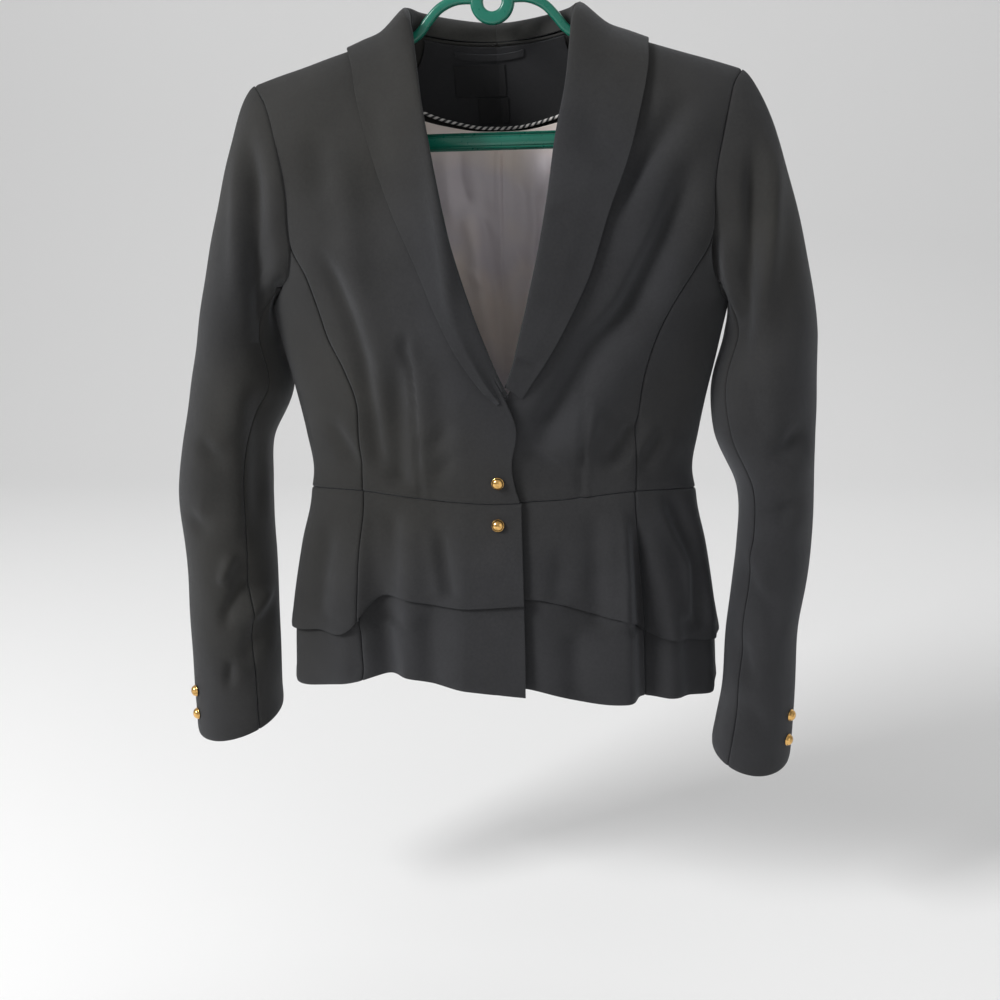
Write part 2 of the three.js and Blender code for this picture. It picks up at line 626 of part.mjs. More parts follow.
// Side panels between a princess seam and the side seam.
function sideSurface(side, face) {
  const rows = face === FRONT ? FRONT_OUTER : BACK_OUTER;
  const column = face === FRONT ? side.name : 'x';
  const inner = rowEdge(rows, column, 0, PRINCESS_ROWS);
  const low = waistEdge(inner(0).angle, Math.PI / 2, face === BACK);
  const map = patch(inner, sideSeam, low, armholeEdge(inner(1)));
  return (u, v) => {
    const place = map(u, v);
    return mirror(bodyPoint(place.angle, place.z, face), side.sx);
  };
}

function addSides() {
  for (const side of SIDES) {
    for (const [name, face] of [['side_front', FRONT], ['side_back', BACK]]) {
      addPiece(`${name}_${side.name}`, clothWall(sideSurface(side, face), {
        us: even(SIDE_COLUMNS), vs: sideSteps, cloth: BODY_CLOTH, level: [0],
      }), 'suiting');
    }
  }
}

// Back panel: its top edge is the neck seam and then the shoulder seam.
const NECK_SHARE = NECK_COLUMNS / (NECK_COLUMNS + FRONT_COLUMNS);
function backSurface(side) {
  const centreZ = track(BACK_CENTRE, 'row', 'z');
  const inner = (v) => ({ angle: 0, z: centreZ(v * BODY_ROWS) });
  const outer = rowEdge(BACK_OUTER, 'x', 0, BODY_ROWS);
  const shoulder = shoulderEdge(NECK.x);
  const past = (u) => (u - NECK_SHARE) / (1 - NECK_SHARE);
  const top = (u) => (u < NECK_SHARE ? neckSeam(u / NECK_SHARE) : shoulder(past(u)));
  const map = patch(inner, outer, waistEdge(0, outer(0).angle, true), top);
  return (u, v) => {
    const place = map(u, v);
    return mirror(bodyPoint(place.angle, place.z, BACK), side.sx);
  };
}

function addBacks() {
  for (const side of SIDES) {
    addPiece(`back_${side.name}`, clothWall(backSurface(side), {
      us: even(NECK_COLUMNS + FRONT_COLUMNS), vs: rowSteps, cloth: BODY_CLOTH, level: [0],
    }), 'suiting');
  }
}

// Armhole as a closed loop of rails: over the front, under the arm and up the back.
function armholeLoop(side) {
  const front = rowEdge(FRONT_OUTER, side.name, 0, BODY_ROWS);
  const back = rowEdge(BACK_OUTER, 'x', 0, BODY_ROWS);
  const split = PRINCESS_ROWS / BODY_ROWS;
  const upper = BODY_ROWS - PRINCESS_ROWS;
  const lowFront = armholeEdge(front(split));
  const lowBack = armholeEdge(back(split));
  return (rail) => {
    if (rail <= upper) {
      const place = front(1 - rail / BODY_ROWS);
      return bodyPoint(place.angle, place.z, FRONT);
    }
    if (rail <= upper + SIDE_COLUMNS) {
      const place = lowFront((rail - upper) / SIDE_COLUMNS);
      return bodyPoint(place.angle, place.z, FRONT);
    }
    if (rail <= upper + 2 * SIDE_COLUMNS) {
      const place = lowBack((upper + 2 * SIDE_COLUMNS - rail) / SIDE_COLUMNS);
      return bodyPoint(place.angle, place.z, BACK);
    }
    const place = back(1 - (SLEEVE_RAILS - rail) / BODY_ROWS);
    return bodyPoint(place.angle, place.z, BACK);
  };
}

// Angle round the sleeve of a rail: even at the upper arm, between the two seams at the cuff.
function railAngle(rail, z) {
  const upper = 360 * rail / SLEEVE_RAILS;
  const topSpan = SLEEVE_RAILS - BACK_SEAM_RAIL + FRONT_SEAM_RAIL;
  const fromBack = (rail - BACK_SEAM_RAIL + SLEEVE_RAILS) % SLEEVE_RAILS;
  let lower = lerp(CUFF_BACK_SEAM, CUFF_FRONT_SEAM, fromBack / topSpan);
  if (rail > FRONT_SEAM_RAIL && rail < BACK_SEAM_RAIL) {
    const share = (rail - FRONT_SEAM_RAIL) / (BACK_SEAM_RAIL - FRONT_SEAM_RAIL);
    lower = lerp(CUFF_FRONT_SEAM, 360 + CUFF_BACK_SEAM, share);
  } else if (rail >= BACK_SEAM_RAIL) {
    lower += 360;
  }
  const shift = smooth(SEAM_SHIFT.from, SEAM_SHIFT.to, z);
  return lerp(upper, lower, shift) * DEG;
}

// Point of the sleeve's skin below the cap.
function armPoint(side, rail, z) {
  const rows = SLEEVE[side.name];
  const read = (column) => track(rows, 'z', column)(z);
  const outer = read('outer');
  const inner = read('inner');
  const fore = read('front');
  const aft = read('back');
  const angle = railAngle(rail, z);
  const cuff = CUFF[side.name];
  const hem = 1 - smooth(0, CUFF_DIP_FROM, z - cuff.z);
  return new THREE.Vector3(
    (outer + inner) / 2 + (outer - inner) / 2 * Math.cos(angle),
    (fore + aft) / 2 - (aft - fore) / 2 * Math.sin(angle),
    z - hem * (cuff.slant * Math.cos(angle) + cuff.dip * Math.sin(angle)),
  );
}

// Sleeve between two rails: v runs from the armhole (0) over the cap and down to the cuff (1).
function sleeveSurface(side, firstRail, lastRail) {
  const loop = armholeLoop(side);
  const cuff = CUFF[side.name];
  return (u, v) => {
    const rail = lerp(firstRail, lastRail, u) % SLEEVE_RAILS;
    if (v > CAP_SHARE) {
      const z = lerp(UPPER_ARM_Z, cuff.z, (v - CAP_SHARE) / (1 - CAP_SHARE));
      return mirror(armPoint(side, rail, z), side.sx);
    }
    const t = v / CAP_SHARE;
    const start = loop(rail);
    const end = armPoint(side, rail, UPPER_ARM_Z);
    const reach = start.distanceTo(end);
    const angle = railAngle(rail, UPPER_ARM_Z);
    const sink = CAP_LEAN.down * Math.max(Math.cos(angle), 0);
    const out = new THREE.Vector3(1, CAP_LEAN.side * Math.sin(angle), sink).normalize();
    const leave = start.clone().addScaledVector(out, reach * CAP_START);
    start.addScaledVector(out, SEAM);
    const rise = Math.min(reach * CAP_END, CAP_RISE_MOST);
    const arrive = armPoint(side, rail, UPPER_ARM_Z + rise);
    const curve = new THREE.CubicBezierCurve3(start, leave, arrive, end);
    return mirror(curve.getPoint(t), side.sx);
  };
}

function addSleeves() {
  const vs = [...CAP_STEPS.map((t) => t * CAP_SHARE), ...ARM_STEPS.map((t) => lerp(CAP_SHARE, 1, t))];
  for (const side of SIDES) {
    const heart = new THREE.Vector3(240 * side.sx, 0, -500);
    const spans = [
      { name: 'top_sleeve', first: BACK_SEAM_RAIL, last: SLEEVE_RAILS + FRONT_SEAM_RAIL },
      { name: 'under_sleeve', first: FRONT_SEAM_RAIL, last: BACK_SEAM_RAIL },
    ];
    for (const span of spans) {
      addPiece(`${span.name}_${side.name}`, clothWall(sleeveSurface(side, span.first, span.last), {
        us: even(span.last - span.first), vs, cloth: BODY_CLOTH, heart, probe: [0.5, 0.7],
      }), 'suiting');
    }
  }
}

// Collar: seven rails along the neck, from the seam up the stand, over the roll and out to the edge.
function collarSurface(side) {
  const rows = COLLAR[side.name].map((row, index) => ({ ...row, index }));
  const column = (name) => track(rows, 'index', name);
  const [edgeX, edgeZ, stand] = ['edgeX', 'edgeZ', 'stand'].map(column);
  const [lean, roll, lift] = ['lean', 'roll', 'lift'].map(column);
  const turn = rows.findIndex((row) => row.on === 'front');
  const backAt = track([...rows.slice(0, turn), { at: 1, index: turn }], 'index', 'at');
  const frontAt = track(rows.slice(turn), 'index', 'at');
  const inner = rowEdge(FRONT_INNER[side.name], 'x', 0, BODY_ROWS);
  const last = rows.length - 1;
  const seat = (angle, z, face, out) => {
    const probe = (a, h) => bodyPoint(a, Math.min(h, shoulderZ(bodyHalf(h) * Math.sin(a))), face);
    const step = 0.004;
    const point = probe(angle, z);
    const along = probe(angle + step, z - 0.5).sub(probe(angle - step, z - 0.5));
    const up = probe(angle, z).sub(probe(angle, z - 1));
    const normal = along.cross(up).multiplyScalar(face === FRONT ? 1 : -1).normalize();
    if (face === FRONT) point.y -= frontLift(side, point.x);
    return { point: point.addScaledVector(normal, out), normal };
  };
  const base = (t) => {
    if (t < turn) {
      const place = neckSeam(backAt(t));
      return { place, face: BACK };
    }
    return { place: inner(frontAt(t) / BODY_ROWS), face: FRONT };
  };
  return (u, v) => {
    const t = v * last;
    const { place, face } = base(t);
    const here = seat(place.angle, place.z, face, 0);
    const before = base(Math.max(t - COLLAR_STEP, 0));
    const after = base(Math.min(t + COLLAR_STEP, last));
    const tangent = bodyPoint(after.place.angle, after.place.z, after.face)
      .sub(bodyPoint(before.place.angle, before.place.z, before.face));
    const offCentre = smooth(0, COLLAR_BLEND.centre, t);
    tangent.set(tangent.x, tangent.y * offCentre, tangent.z * offCentre).normalize();
    here.normal.x *= offCentre;
    const ridge = new THREE.Vector3(Math.sin(SHOULDER_SLOPE), 0, Math.cos(SHOULDER_SLOPE));
    const nearRidge = 1 - smooth(0, COLLAR_BLEND.shoulder, Math.abs(t - turn));
    const normal = here.normal.clone().lerp(ridge, nearRidge).normalize();
    const inward = normal.clone().cross(tangent).normalize();
    if (inward.x > 0 && t > 1) inward.negate();
    if (t <= 1 && inward.z < 0) inward.negate();
    const aim = (degrees, length) => inward.clone().multiplyScalar(Math.cos(degrees * DEG) * length)
      .addScaledVector(normal, Math.sin(degrees * DEG) * length);
    const tilt = lean(t);
    const height = stand(t);
    const wallPoint = here.point.clone().add(aim(tilt - STAND_BEND, height * STAND_WALL));
    const seamPoint = here.point.clone().addScaledVector(normal, -BODY_CLOTH).addScaledVector(inward, 2 * SEAM);
    const rise = wallPoint.clone().sub(seamPoint).normalize().dot(normal);
    seamPoint.addScaledVector(inward, COLLAR_SEAT + COLLAR_CLOTH * Math.max(rise, 0));
    const rollPoint = here.point.clone().add(aim(tilt, height));
    const crest = rollPoint.clone().add(aim(tilt + CREST_TURN, roll(t)));
    const edgeFace = t < turn ? BACK : FRONT;
    const edgeSpot = spot(edgeX(t), Math.min(edgeZ(t), shoulderZ(edgeX(t))));
    const onFall = (share) => {
      const x = lerp(here.point.x, edgeX(t), share);
      const z = Math.min(lerp(place.z, edgeSpot.z, share), shoulderZ(x));
      return seat(angleOf(x, z), z, edgeFace, lift(t) + (1 - share) * roll(t)).point;
    };
    const rails = [seamPoint, wallPoint, rollPoint, crest, ...FALL_SHARES.map(onFall)];
    const curve = new THREE.CatmullRomCurve3(rails, false, 'centripetal');
    return mirror(curve.getPoint(u), side.sx);
  };
}

function addCollars() {
  for (const side of SIDES) {
    addPiece(`collar_${side.name}`, clothWall(collarSurface(side), {
      us: COLLAR_COLUMNS, vs: even(COLLAR_ROWS), cloth: COLLAR_CLOTH, probe: [0.85, 0.5],
    }), 'suiting');
  }
}

const hump = (t) => (Math.abs(t) < 1 ? (1 + Math.cos(Math.PI * t)) / 2 : 0);
const flareBy = {
  half: track(FLARE, 'drop', 'half'), front: track(FLARE, 'drop', 'front'), back: track(FLARE, 'drop', 'back'),
};

// Skin of the peplum at an own angle from the centre front and a drop below the waist seam.
function peplumPoint(side, degrees, drop, calm) {
  const angle = degrees * DEG;
  const seamZ = waistZ(Math.abs(degrees));
  const share = (drop / FLUTE_DROP) ** FLUTE_GROWTH * lerp(1, calm, smooth(CALM.from, CALM.to, drop));
  const fall = clamp(drop / FLUTE_DROP, 0, FLUTE_REACH);
  let swell = 0;
  for (const flute of FLUTES[side.name]) {
    const away = degrees - lerp(flute.waist, flute.hem, fall);
    swell += flute.height * share * hump(away / (away < 0 ? flute.fore : flute.aft));
  }
  const face = Math.cos(angle) > 0 ? FRONT : BACK;
  const deep = face === FRONT ? flareBy.front(drop) : flareBy.back(drop);
  const half = bodyHalf(seamZ) + flareBy.half(drop);
  const depth = bodyDepth[face](seamZ) + deep;
  const point = new THREE.Vector3(half * Math.sin(angle), -depth * Math.cos(angle), seamZ - drop);
  const out = new THREE.Vector3(Math.sin(angle) * depth, -Math.cos(angle) * half, 0).normalize();
  return point.addScaledVector(out, swell);
}

// One panel of a tier between two seams, from the hem up to the waist.
function peplumSurface(side, tier, from, to) {
  const hemZ = track(HEM[tier.name][side.name], 'angle', 'z');
  return (u, v) => {
    const top = lerp(from(0), to(0), u);
    const drop = (1 - v) * (waistZ(Math.abs(top)) - hemZ(lerp(from(1), to(1), u)));
    const fall = drop / FLUTE_DROP;
    const degrees = lerp(from(fall), to(fall), u);
    const point = peplumPoint(side, degrees, drop, tier.calm);
    if (side.name === 'right') {
      const share = 1 - smooth(OPENING_LIFT.full, OPENING_LIFT.none, degrees);
      point.y -= share * (OVERLAP.lift + OVERLAP.flare * fall);
    }
    return mirror(point, side.sx);
  };
}

function addPeplum() {
  for (const tier of TIERS) {
    for (const side of SIDES) {
      const seam = PEPLUM_SEAMS[side.name];
      const opening = () => OPENING_ANGLE[side.name];
      const frontSeam = (fall) => lerp(seam.frontWaist, seam.frontHem, clamp(fall, 0, FLUTE_REACH));
      const backSeam = () => BACK_SEAM_ANGLE;
      const centreBack = () => 180;
      const panels = [
        { name: 'front', from: opening, to: frontSeam },
        { name: 'side', from: frontSeam, to: backSeam },
        { name: 'back', from: backSeam, to: centreBack },
      ];
      for (const panel of panels) {
        addPiece(`${tier.name}_peplum_${panel.name}_${side.name}`, clothWall(
          peplumSurface(side, tier, panel.from, panel.to),
          {
            us: even(PEPLUM_COLUMNS[panel.name]), vs: even(tier.rows), cloth: PEPLUM_CLOTH, level: [1],
            offset: (u, v) => -tier.layer - tier.spread * (1 - v),
          },
        ), 'suiting');
      }
    }
  }
}

// Layers inside the back: a surface over own x and height, and how deep under the back's skin it lies.
const pipingZ = track(PIPING_LINE, 'x', 'z');
const facingDeep = BODY_CLOTH + LAYER_GAP;
const labelDeep = facingDeep + FACING_CLOTH + LABEL_GAP;
const insideBack = (x, z) => {
  const place = spot(Math.abs(x), z);
  return mirror(bodyPoint(place.angle, place.z, BACK), Math.sign(x) || 1);
};

function addNeckFacing() {
  const surface = (u, v) => {
    const low = lerp(-FACING_LOW_X, FACING_LOW_X, u);
    const top = lerp(-FACING_TOP_X, FACING_TOP_X, u);
    const x = lerp(low, top, smooth(0, 1, v));
    const highZ = neckSeam(Math.abs(top) / NECK.x).z - FACING_TOP_GAP;
    return insideBack(x, lerp(pipingZ(Math.abs(low)) + PIPING_ROUND + 2 * SEAM, highZ, v));
  };
  addPiece('neck_facing', clothWall(surface, {
    us: even(14), vs: even(6), cloth: FACING_CLOTH, offset: () => -facingDeep, level: [0],
  }), 'facing');
}

// Piping: a round cord along the facing's lower edge.
function addPiping() {
  const line = even(PIPING_STEPS).map((t) => {
    const x = lerp(-FACING_LOW_X + 2, FACING_LOW_X - 2, t);
    const point = insideBack(x, pipingZ(Math.abs(x)));
    const out = new THREE.Vector3(point.x * 0.1, point.y, 0).normalize();
    return point.addScaledVector(out, -(BODY_CLOTH + LAYER_GAP + PIPING_ROUND));
  });
  const section = new THREE.Shape(Array.from({ length: PIPING_SIDES }, (_, k) => {
    const angle = 2 * Math.PI * k / PIPING_SIDES;
    return new THREE.Vector2(PIPING_ROUND * Math.cos(angle), PIPING_ROUND * Math.sin(angle));
  }));
  const path = new THREE.CatmullRomCurve3(line);
  const geometry = new THREE.ExtrudeGeometry(section, { steps: PIPING_STEPS, extrudePath: path });
  addPiece('neck_piping', geometry, 'piping');
}

function addLining() {
  const edgeAngle = track(LINING_EDGE, 'z', 'angle');
  for (const side of SIDES) {
    const surface = (u, v) => {
      const topX = bodyHalf(LINING_TOP_Z) * Math.sin(edgeAngle(LINING_TOP_Z) * DEG);
      const slope = smooth(FACING_LOW_X, topX, u * topX) * LINING_CORNER_DROP;
      const topZ = pipingZ(u * topX) - PIPING_ROUND - 2 * SEAM - slope;
      const z = lerp(LINING_LOW_Z, topZ, v);
      const angle = u * edgeAngle(lerp(LINING_LOW_Z, LINING_TOP_Z, v)) * DEG;
      return mirror(bodyPoint(angle, z, BACK), side.sx);
    };
    addPiece(`lining_${side.name}`, clothWall(surface, {
      us: even(8), vs: even(11), cloth: FACING_CLOTH, level: [1], offset: () => -BODY_CLOTH - LINING_GAP,
    }), 'lining');
  }
}

// Hanger loop and labels on the facing.
function addNeckTrim() {
  const loop = (u, v) => {
    const x = lerp(LOOP.x0, LOOP.x1, u);
    const z = LOOP.z - LOOP.sag * Math.sin(Math.PI * u) ** 0.5 - (1 - v) * LOOP.width;
    return insideBack(x, z);
  };
  addPiece('hanger_loop', clothWall(loop, {
    us: even(10), vs: even(2), cloth: LOOP.cloth, offset: () => -labelDeep,
  }), 'facing');
  for (const label of LABELS) {
    const surface = (u, v) => insideBack(lerp(label.x0, label.x1, u), lerp(label.low, label.top, v));
    addPiece(label.name, clothWall(surface, {
      us: even(4), vs: even(3), cloth: LABEL_CLOTH, offset: () => -labelDeep,
    }), 'label');
  }
}

// Dome button: profile from the back's centre, round the rim and over the dome.
function buttonGeometry() {
  const profile = [new THREE.Vector2(0, 0), new THREE.Vector2(BUTTON.back, 0)];
  profile.push(new THREE.Vector2(BUTTON.round, BUTTON.rim / 2));
  for (const t of even(5)) {
    const angle = t * Math.PI / 2;
    const round = t === 1 ? 0 : BUTTON.shoulder * Math.cos(angle);
    profile.push(new THREE.Vector2(round, BUTTON.rim + BUTTON.dome * Math.sin(angle)));
  }
  const lathe = new THREE.LatheGeometry(profile, BUTTON.steps);
  lathe.deleteAttribute('normal');
  lathe.deleteAttribute('uv');
  return mergeVertices(lathe, 1e-3);
}

// Seats a button on a surface of own x and height, along that surface's local normal.
function addButton(name, skin, x, z, sx, seat) {
  const reach = BUTTON.round;
  const across = skin(x + reach, z).sub(skin(x - reach, z));
  const up = skin(x, z + reach).sub(skin(x, z - reach));
  const out = across.cross(up).normalize();
  const button = addPiece(name, buttonGeometry(), 'brass');
  const point = skin(x, z).addScaledVector(out, seat);
  button.position.copy(mirror(point, sx));
  button.quaternion.setFromUnitVectors(new THREE.Vector3(0, 1, 0), mirror(out, sx));
}

function addButtons() {
  const right = SIDES[0];
  const frontSkin = (x, z) => {
    const point = bodyPoint(angleOf(x, z), z, FRONT);
    point.y -= frontLift(right, x);
    return point;
  };
  const tierSkin = (x, z) => {
    const drop = waistZ(0) - z;
    const degrees = Math.asin(x / (bodyHalf(waistZ(0)) + flareBy.half(drop))) / DEG;
    const point = peplumPoint(right, degrees, drop, 1);
    point.y -= OVERLAP.lift + OVERLAP.flare * drop / FLUTE_DROP;
    return point;
  };
  const [upper, lower] = WAIST_BUTTONS;
  addButton(upper.name, frontSkin, -upper.x, upper.z, right.sx, BUTTON.seat);
  addButton(lower.name, tierSkin, -lower.x, lower.z, right.sx, BUTTON.seat);
  for (const side of SIDES) {
    CUFF_BUTTONS[side.name].forEach((buttonZ, index) => {
      const skin = (rail, z) => armPoint(side, rail, z);
      const point = skin(CUFF_BUTTON_RAIL, buttonZ);
      const fore = skin(CUFF_BUTTON_RAIL + 0.5, buttonZ).sub(skin(CUFF_BUTTON_RAIL - 0.5, buttonZ));
      const below = skin(CUFF_BUTTON_RAIL, buttonZ - BUTTON.round);
      const up = skin(CUFF_BUTTON_RAIL, buttonZ + BUTTON.round).sub(below);
      const out = fore.cross(up).normalize();
      if (out.x < 0) out.negate();
      const button = addPiece(`cuff_button_${side.name}_${index + 1}`, buttonGeometry(), 'brass');
      button.position.copy(mirror(point.addScaledVector(out, CUFF_BUTTON_SEAT), side.sx));
      button.quaternion.setFromUnitVectors(new THREE.Vector3(0, 1, 0), mirror(out, side.sx));
    });
  }
}

// Solid of a closed geometry, for joins and cuts.
function toSolid(geometry) {
  const clean = geometry.clone();
  clean.deleteAttribute('normal');
  clean.deleteAttribute('uv');
  const merged = mergeVertices(clean, 1e-4);
  return new wasm.Manifold(new wasm.Mesh({
    numProp: 3,
    vertProperties: new Float32Array(merged.attributes.position.array),
    triVerts: new Uint32Array(merged.index.array),
  }));
}

function fromSolid(solid) {
  const mesh = solid.getMesh();
  const geometry = new THREE.BufferGeometry();
  geometry.setAttribute('position', new THREE.BufferAttribute(new Float32Array(mesh.vertProperties), 3));
  geometry.setIndex(new THREE.BufferAttribute(new Uint32Array(mesh.triVerts), 1));
  return geometry;
}

// Plate in the X-Z plane, centred on Y, with softened edges.
function plate(shape) {
  const geometry = new THREE.ExtrudeGeometry(shape, {
    depth: HANGER.depth - 2 * HANGER.edge,
    bevelThickness: HANGER.edge,
    bevelSize: HANGER.edge,
    bevelOffset: -HANGER.edge,
    bevelSegments: 1,
    curveSegments: 14,
  });
  geometry.rotateX(Math.PI / 2);
  geometry.translate(0, (HANGER.depth - 2 * HANGER.edge) / 2, 0);
  return toSolid(geometry);
}

// Band of even width along a line of points.
function band(points, width, steps) {
  const curve = new THREE.SplineCurve(points.map(([x, z]) => new THREE.Vector2(x, z)));
  const near = [];
  const far = [];
  for (const t of even(steps)) {
    const point = curve.getPoint(t);
    const along = curve.getTangent(t);
    const across = new THREE.Vector2(-along.y, along.x).multiplyScalar(width / 2);
    near.push(point.clone().add(across));
    far.unshift(point.clone().sub(across));
  }
  return new THREE.Shape([...near, ...far]);
}

function addHanger() {
  const arc = (degrees) => [
    HANGER.hookRound * Math.cos(degrees * DEG), HANGER.hookDrop + HANGER.hookRound * Math.sin(degrees * DEG),
  ];
  const hookLine = [...even(8).map((t) => arc(lerp(HOOK_TURN.tip, HOOK_TURN.neck, t))), ...SHANK];
  const disc = new THREE.Shape().absarc(RING.x, RING.z, RING.outer, 0, 2 * Math.PI);
  const hole = new THREE.CylinderGeometry(RING.inner, RING.inner, 3 * HANGER.depth, 24);
  hole.translate(RING.x, 0, RING.z);
  let solid = plate(band(hookLine, HANGER.band, 34)).add(plate(disc));
  for (const { sx } of SIDES) {
    const slope = ARM_STOPS.map((x) => [x, shoulderZ(x) - ARM_CLEAR - HANGER.band / 2]);
    const armLine = [...ARM_INNER, ...slope, ...ARM_END];
    solid = solid.add(plate(band(armLine.map(([x, z]) => [x * sx, z]), HANGER.band, 46)));
  }
  const barShape = new THREE.Shape([
    new THREE.Vector2(-BAR.half, BAR.z - BAR.height / 2), new THREE.Vector2(BAR.half, BAR.z - BAR.height / 2),
    new THREE.Vector2(BAR.half, BAR.z + BAR.height / 2), new THREE.Vector2(-BAR.half, BAR.z + BAR.height / 2),
  ]);
  solid = solid.add(plate(barShape)).subtract(toSolid(hole));
  for (const face of [FRONT, BACK]) {
    for (const level of [-1, 1]) {
      const groove = new THREE.BoxGeometry(BAR.grooveLength, 2 * BAR.grooveDeep, BAR.groove);
      groove.translate(0, face * HANGER.depth / 2, BAR.z + level * BAR.grooveFrom);
      solid = solid.subtract(toSolid(groove));
    }
  }
  addPiece('hanger', fromSolid(solid), 'plastic');
}

addHanger();
addFronts();
addSides();
addBacks();
addSleeves();
addCollars();
addPeplum();
addNeckFacing();
addPiping();
addLining();
addNeckTrim();
addButtons();

export default jacket;
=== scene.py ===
"""Looks of a peplum jacket on a clothes hanger, laid out as an add-on and run as a script.

Sizes are millimetres in the tables and metres in the meshes, +Z up, with the front towards -Y.
Right and left are the wearer's: right is at negative X. "Own" x is measured towards the piece's own side.
"""
import math
from collections import namedtuple
from dataclasses import dataclass

import bmesh
import bpy
import numpy as np
from mathutils import Matrix, Vector


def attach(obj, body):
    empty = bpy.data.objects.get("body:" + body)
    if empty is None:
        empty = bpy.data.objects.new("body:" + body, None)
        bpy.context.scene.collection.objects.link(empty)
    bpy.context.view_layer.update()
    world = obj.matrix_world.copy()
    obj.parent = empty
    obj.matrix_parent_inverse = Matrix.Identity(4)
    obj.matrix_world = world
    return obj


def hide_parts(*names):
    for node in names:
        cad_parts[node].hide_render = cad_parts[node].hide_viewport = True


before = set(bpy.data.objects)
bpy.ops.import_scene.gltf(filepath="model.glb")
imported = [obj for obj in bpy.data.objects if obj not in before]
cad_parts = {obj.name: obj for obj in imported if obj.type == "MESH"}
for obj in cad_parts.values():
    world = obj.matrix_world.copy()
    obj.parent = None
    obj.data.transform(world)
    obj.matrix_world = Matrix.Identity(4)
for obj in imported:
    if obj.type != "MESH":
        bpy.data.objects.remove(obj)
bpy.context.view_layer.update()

bl_info = {
    "name": "Peplum jacket",
    "version": (1, 0, 0),
    "blender": (4, 5, 0),
    "location": "3D View > Sidebar > Jacket",
    "description": "Builds the cloth, trimmings and hanger of a peplum jacket on its packed frame",
    "category": "Object",
}

MM = 0.001
FRONT = -1
BACK = 1
SIDES = {"right": -1, "left": 1}

BODY_CLOTH = 1.6
PEPLUM_CLOTH = 1.2
COLLAR_CLOTH = 1.6
FACING_CLOTH = 1.0
LABEL_CLOTH = 0.7
SEAM = 0.17
LAYER_GAP = 1.6
# Where two pieces meet, both dip and their very edges turn in, so that no light shows between them.
SEAM_DIP = 0.9
SEAM_FLANGE = 1.8
SEAM_REACH = 1.5
FLANGE_REACH = 0.35
HEM_RELIEF = 0.35
# Share of its table height to which a crease is pressed: the lining has less room behind it.
CREASE_GAIN = 1.7
LINING_GAIN = 0.75


def table(columns, *rows):
    """Rows of numbers as dictionaries with named columns."""
    names = columns.split()
    return [dict(zip(names, row)) for row in rows]


NECK_X = 75
NECK_Z = -126
SHOULDER_X = 211
SHOULDER_SLOPE = math.radians(16.8)
RIDGE_ROUND = 30
RIDGE_SHARE = 0.2
BACK_SWELL = 120
FRONT_SWELL_CENTRE = 240
FRONT_SWELL_ARMHOLE = 120

BODY = table(
    "z half front back",
    (-100, 232, 78, 58), (-170, 228, 76, 60), (-230, 220, 79, 61), (-300, 212, 83, 60), (-360, 203, 84, 58),
    (-400, 194, 83, 56), (-435, 186, 79, 54), (-475, 178, 71, 50), (-510, 173.5, 63, 47), (-530, 177, 62, 48),
)
WAIST = table(
    "angle z", (0, -529.4), (20, -526.5), (42, -521.5), (62, -522), (90, -525), (135, -528), (180, -530),
)
PRINCESS_ROWS = 8
BODY_ROWS = 14
UNDERARM_Z = -360
FRONT_OUTER = table(
    "row right left z",
    (0, 119, 124, -521.5), (1, 118.5, 123.5, -500), (2, 117.8, 124.5, -470), (3, 118.5, 127.5, -440),
    (4, 128, 132, -412), (5, 141, 140, -386), (6, 149.5, 153, -360), (7, 160, 171, -332),
    (8, 174.5, 185.5, -305), (9, 177, 188, -264), (10, 186, 195, -226), (11, 195.5, 201.5, -196),
    (12, 204, 205.5, -177.5), (13, 209.3, 209.5, -169.8), (14, 211, 211, -167),
)
FRONT_INNER = {
    "right": table(
        "row x z",
        (0, -24.5, -529.4), (1, -19.5, -511), (2, -18.5, -493), (3, -23.5, -466), (4, -17.5, -444),
        (5, -4, -414), (6, 10, -381), (7, 22, -347), (8, 34, -310), (9, 46, -268), (10, 57, -222),
        (11, 66, -174), (12, 71.5, -143), (13, 74.3, -129.5), (14, 75, -126),
    ),
    "left": table(
        "row x z",
        (0, -14, -529.4), (1, -14, -508), (2, -13, -486), (3, -6, -463), (4, 13, -440), (5, 26.4, -413),
        (6, 34, -382), (7, 42.5, -350), (8, 50.5, -314), (9, 57.5, -272), (10, 63, -228), (11, 71, -184),
        (12, 75, -150), (13, 75.3, -130), (14, 75, -126),
    ),
}
BACK_OUTER = table(
    "row x z",
    (0, 88, -529), (1, 90, -505), (2, 94, -475), (3, 101, -445), (4, 112, -412), (5, 128, -380),
    (6, 148, -350), (7, 170, -318), (8, 188.5, -288), (9, 191, -256), (10, 194, -224), (11, 200, -195),
    (12, 205, -177.5), (13, 209.4, -169.8), (14, 211, -167),
)
BACK_CENTRE = table(
    "row z", (0, -530), (4, -410), (8, -285), (9, -247), (10, -213), (11, -184), (12, -160), (13, -143), (14, -135),
)
BACK_NECK_Z = -135
NECK_SHARE = 1 / 3
OVERLAP_LIFT = 5.4
OVERLAP_FLARE = 3.4
OVERLAP_FULL = 20
OVERLAP_NONE = 62

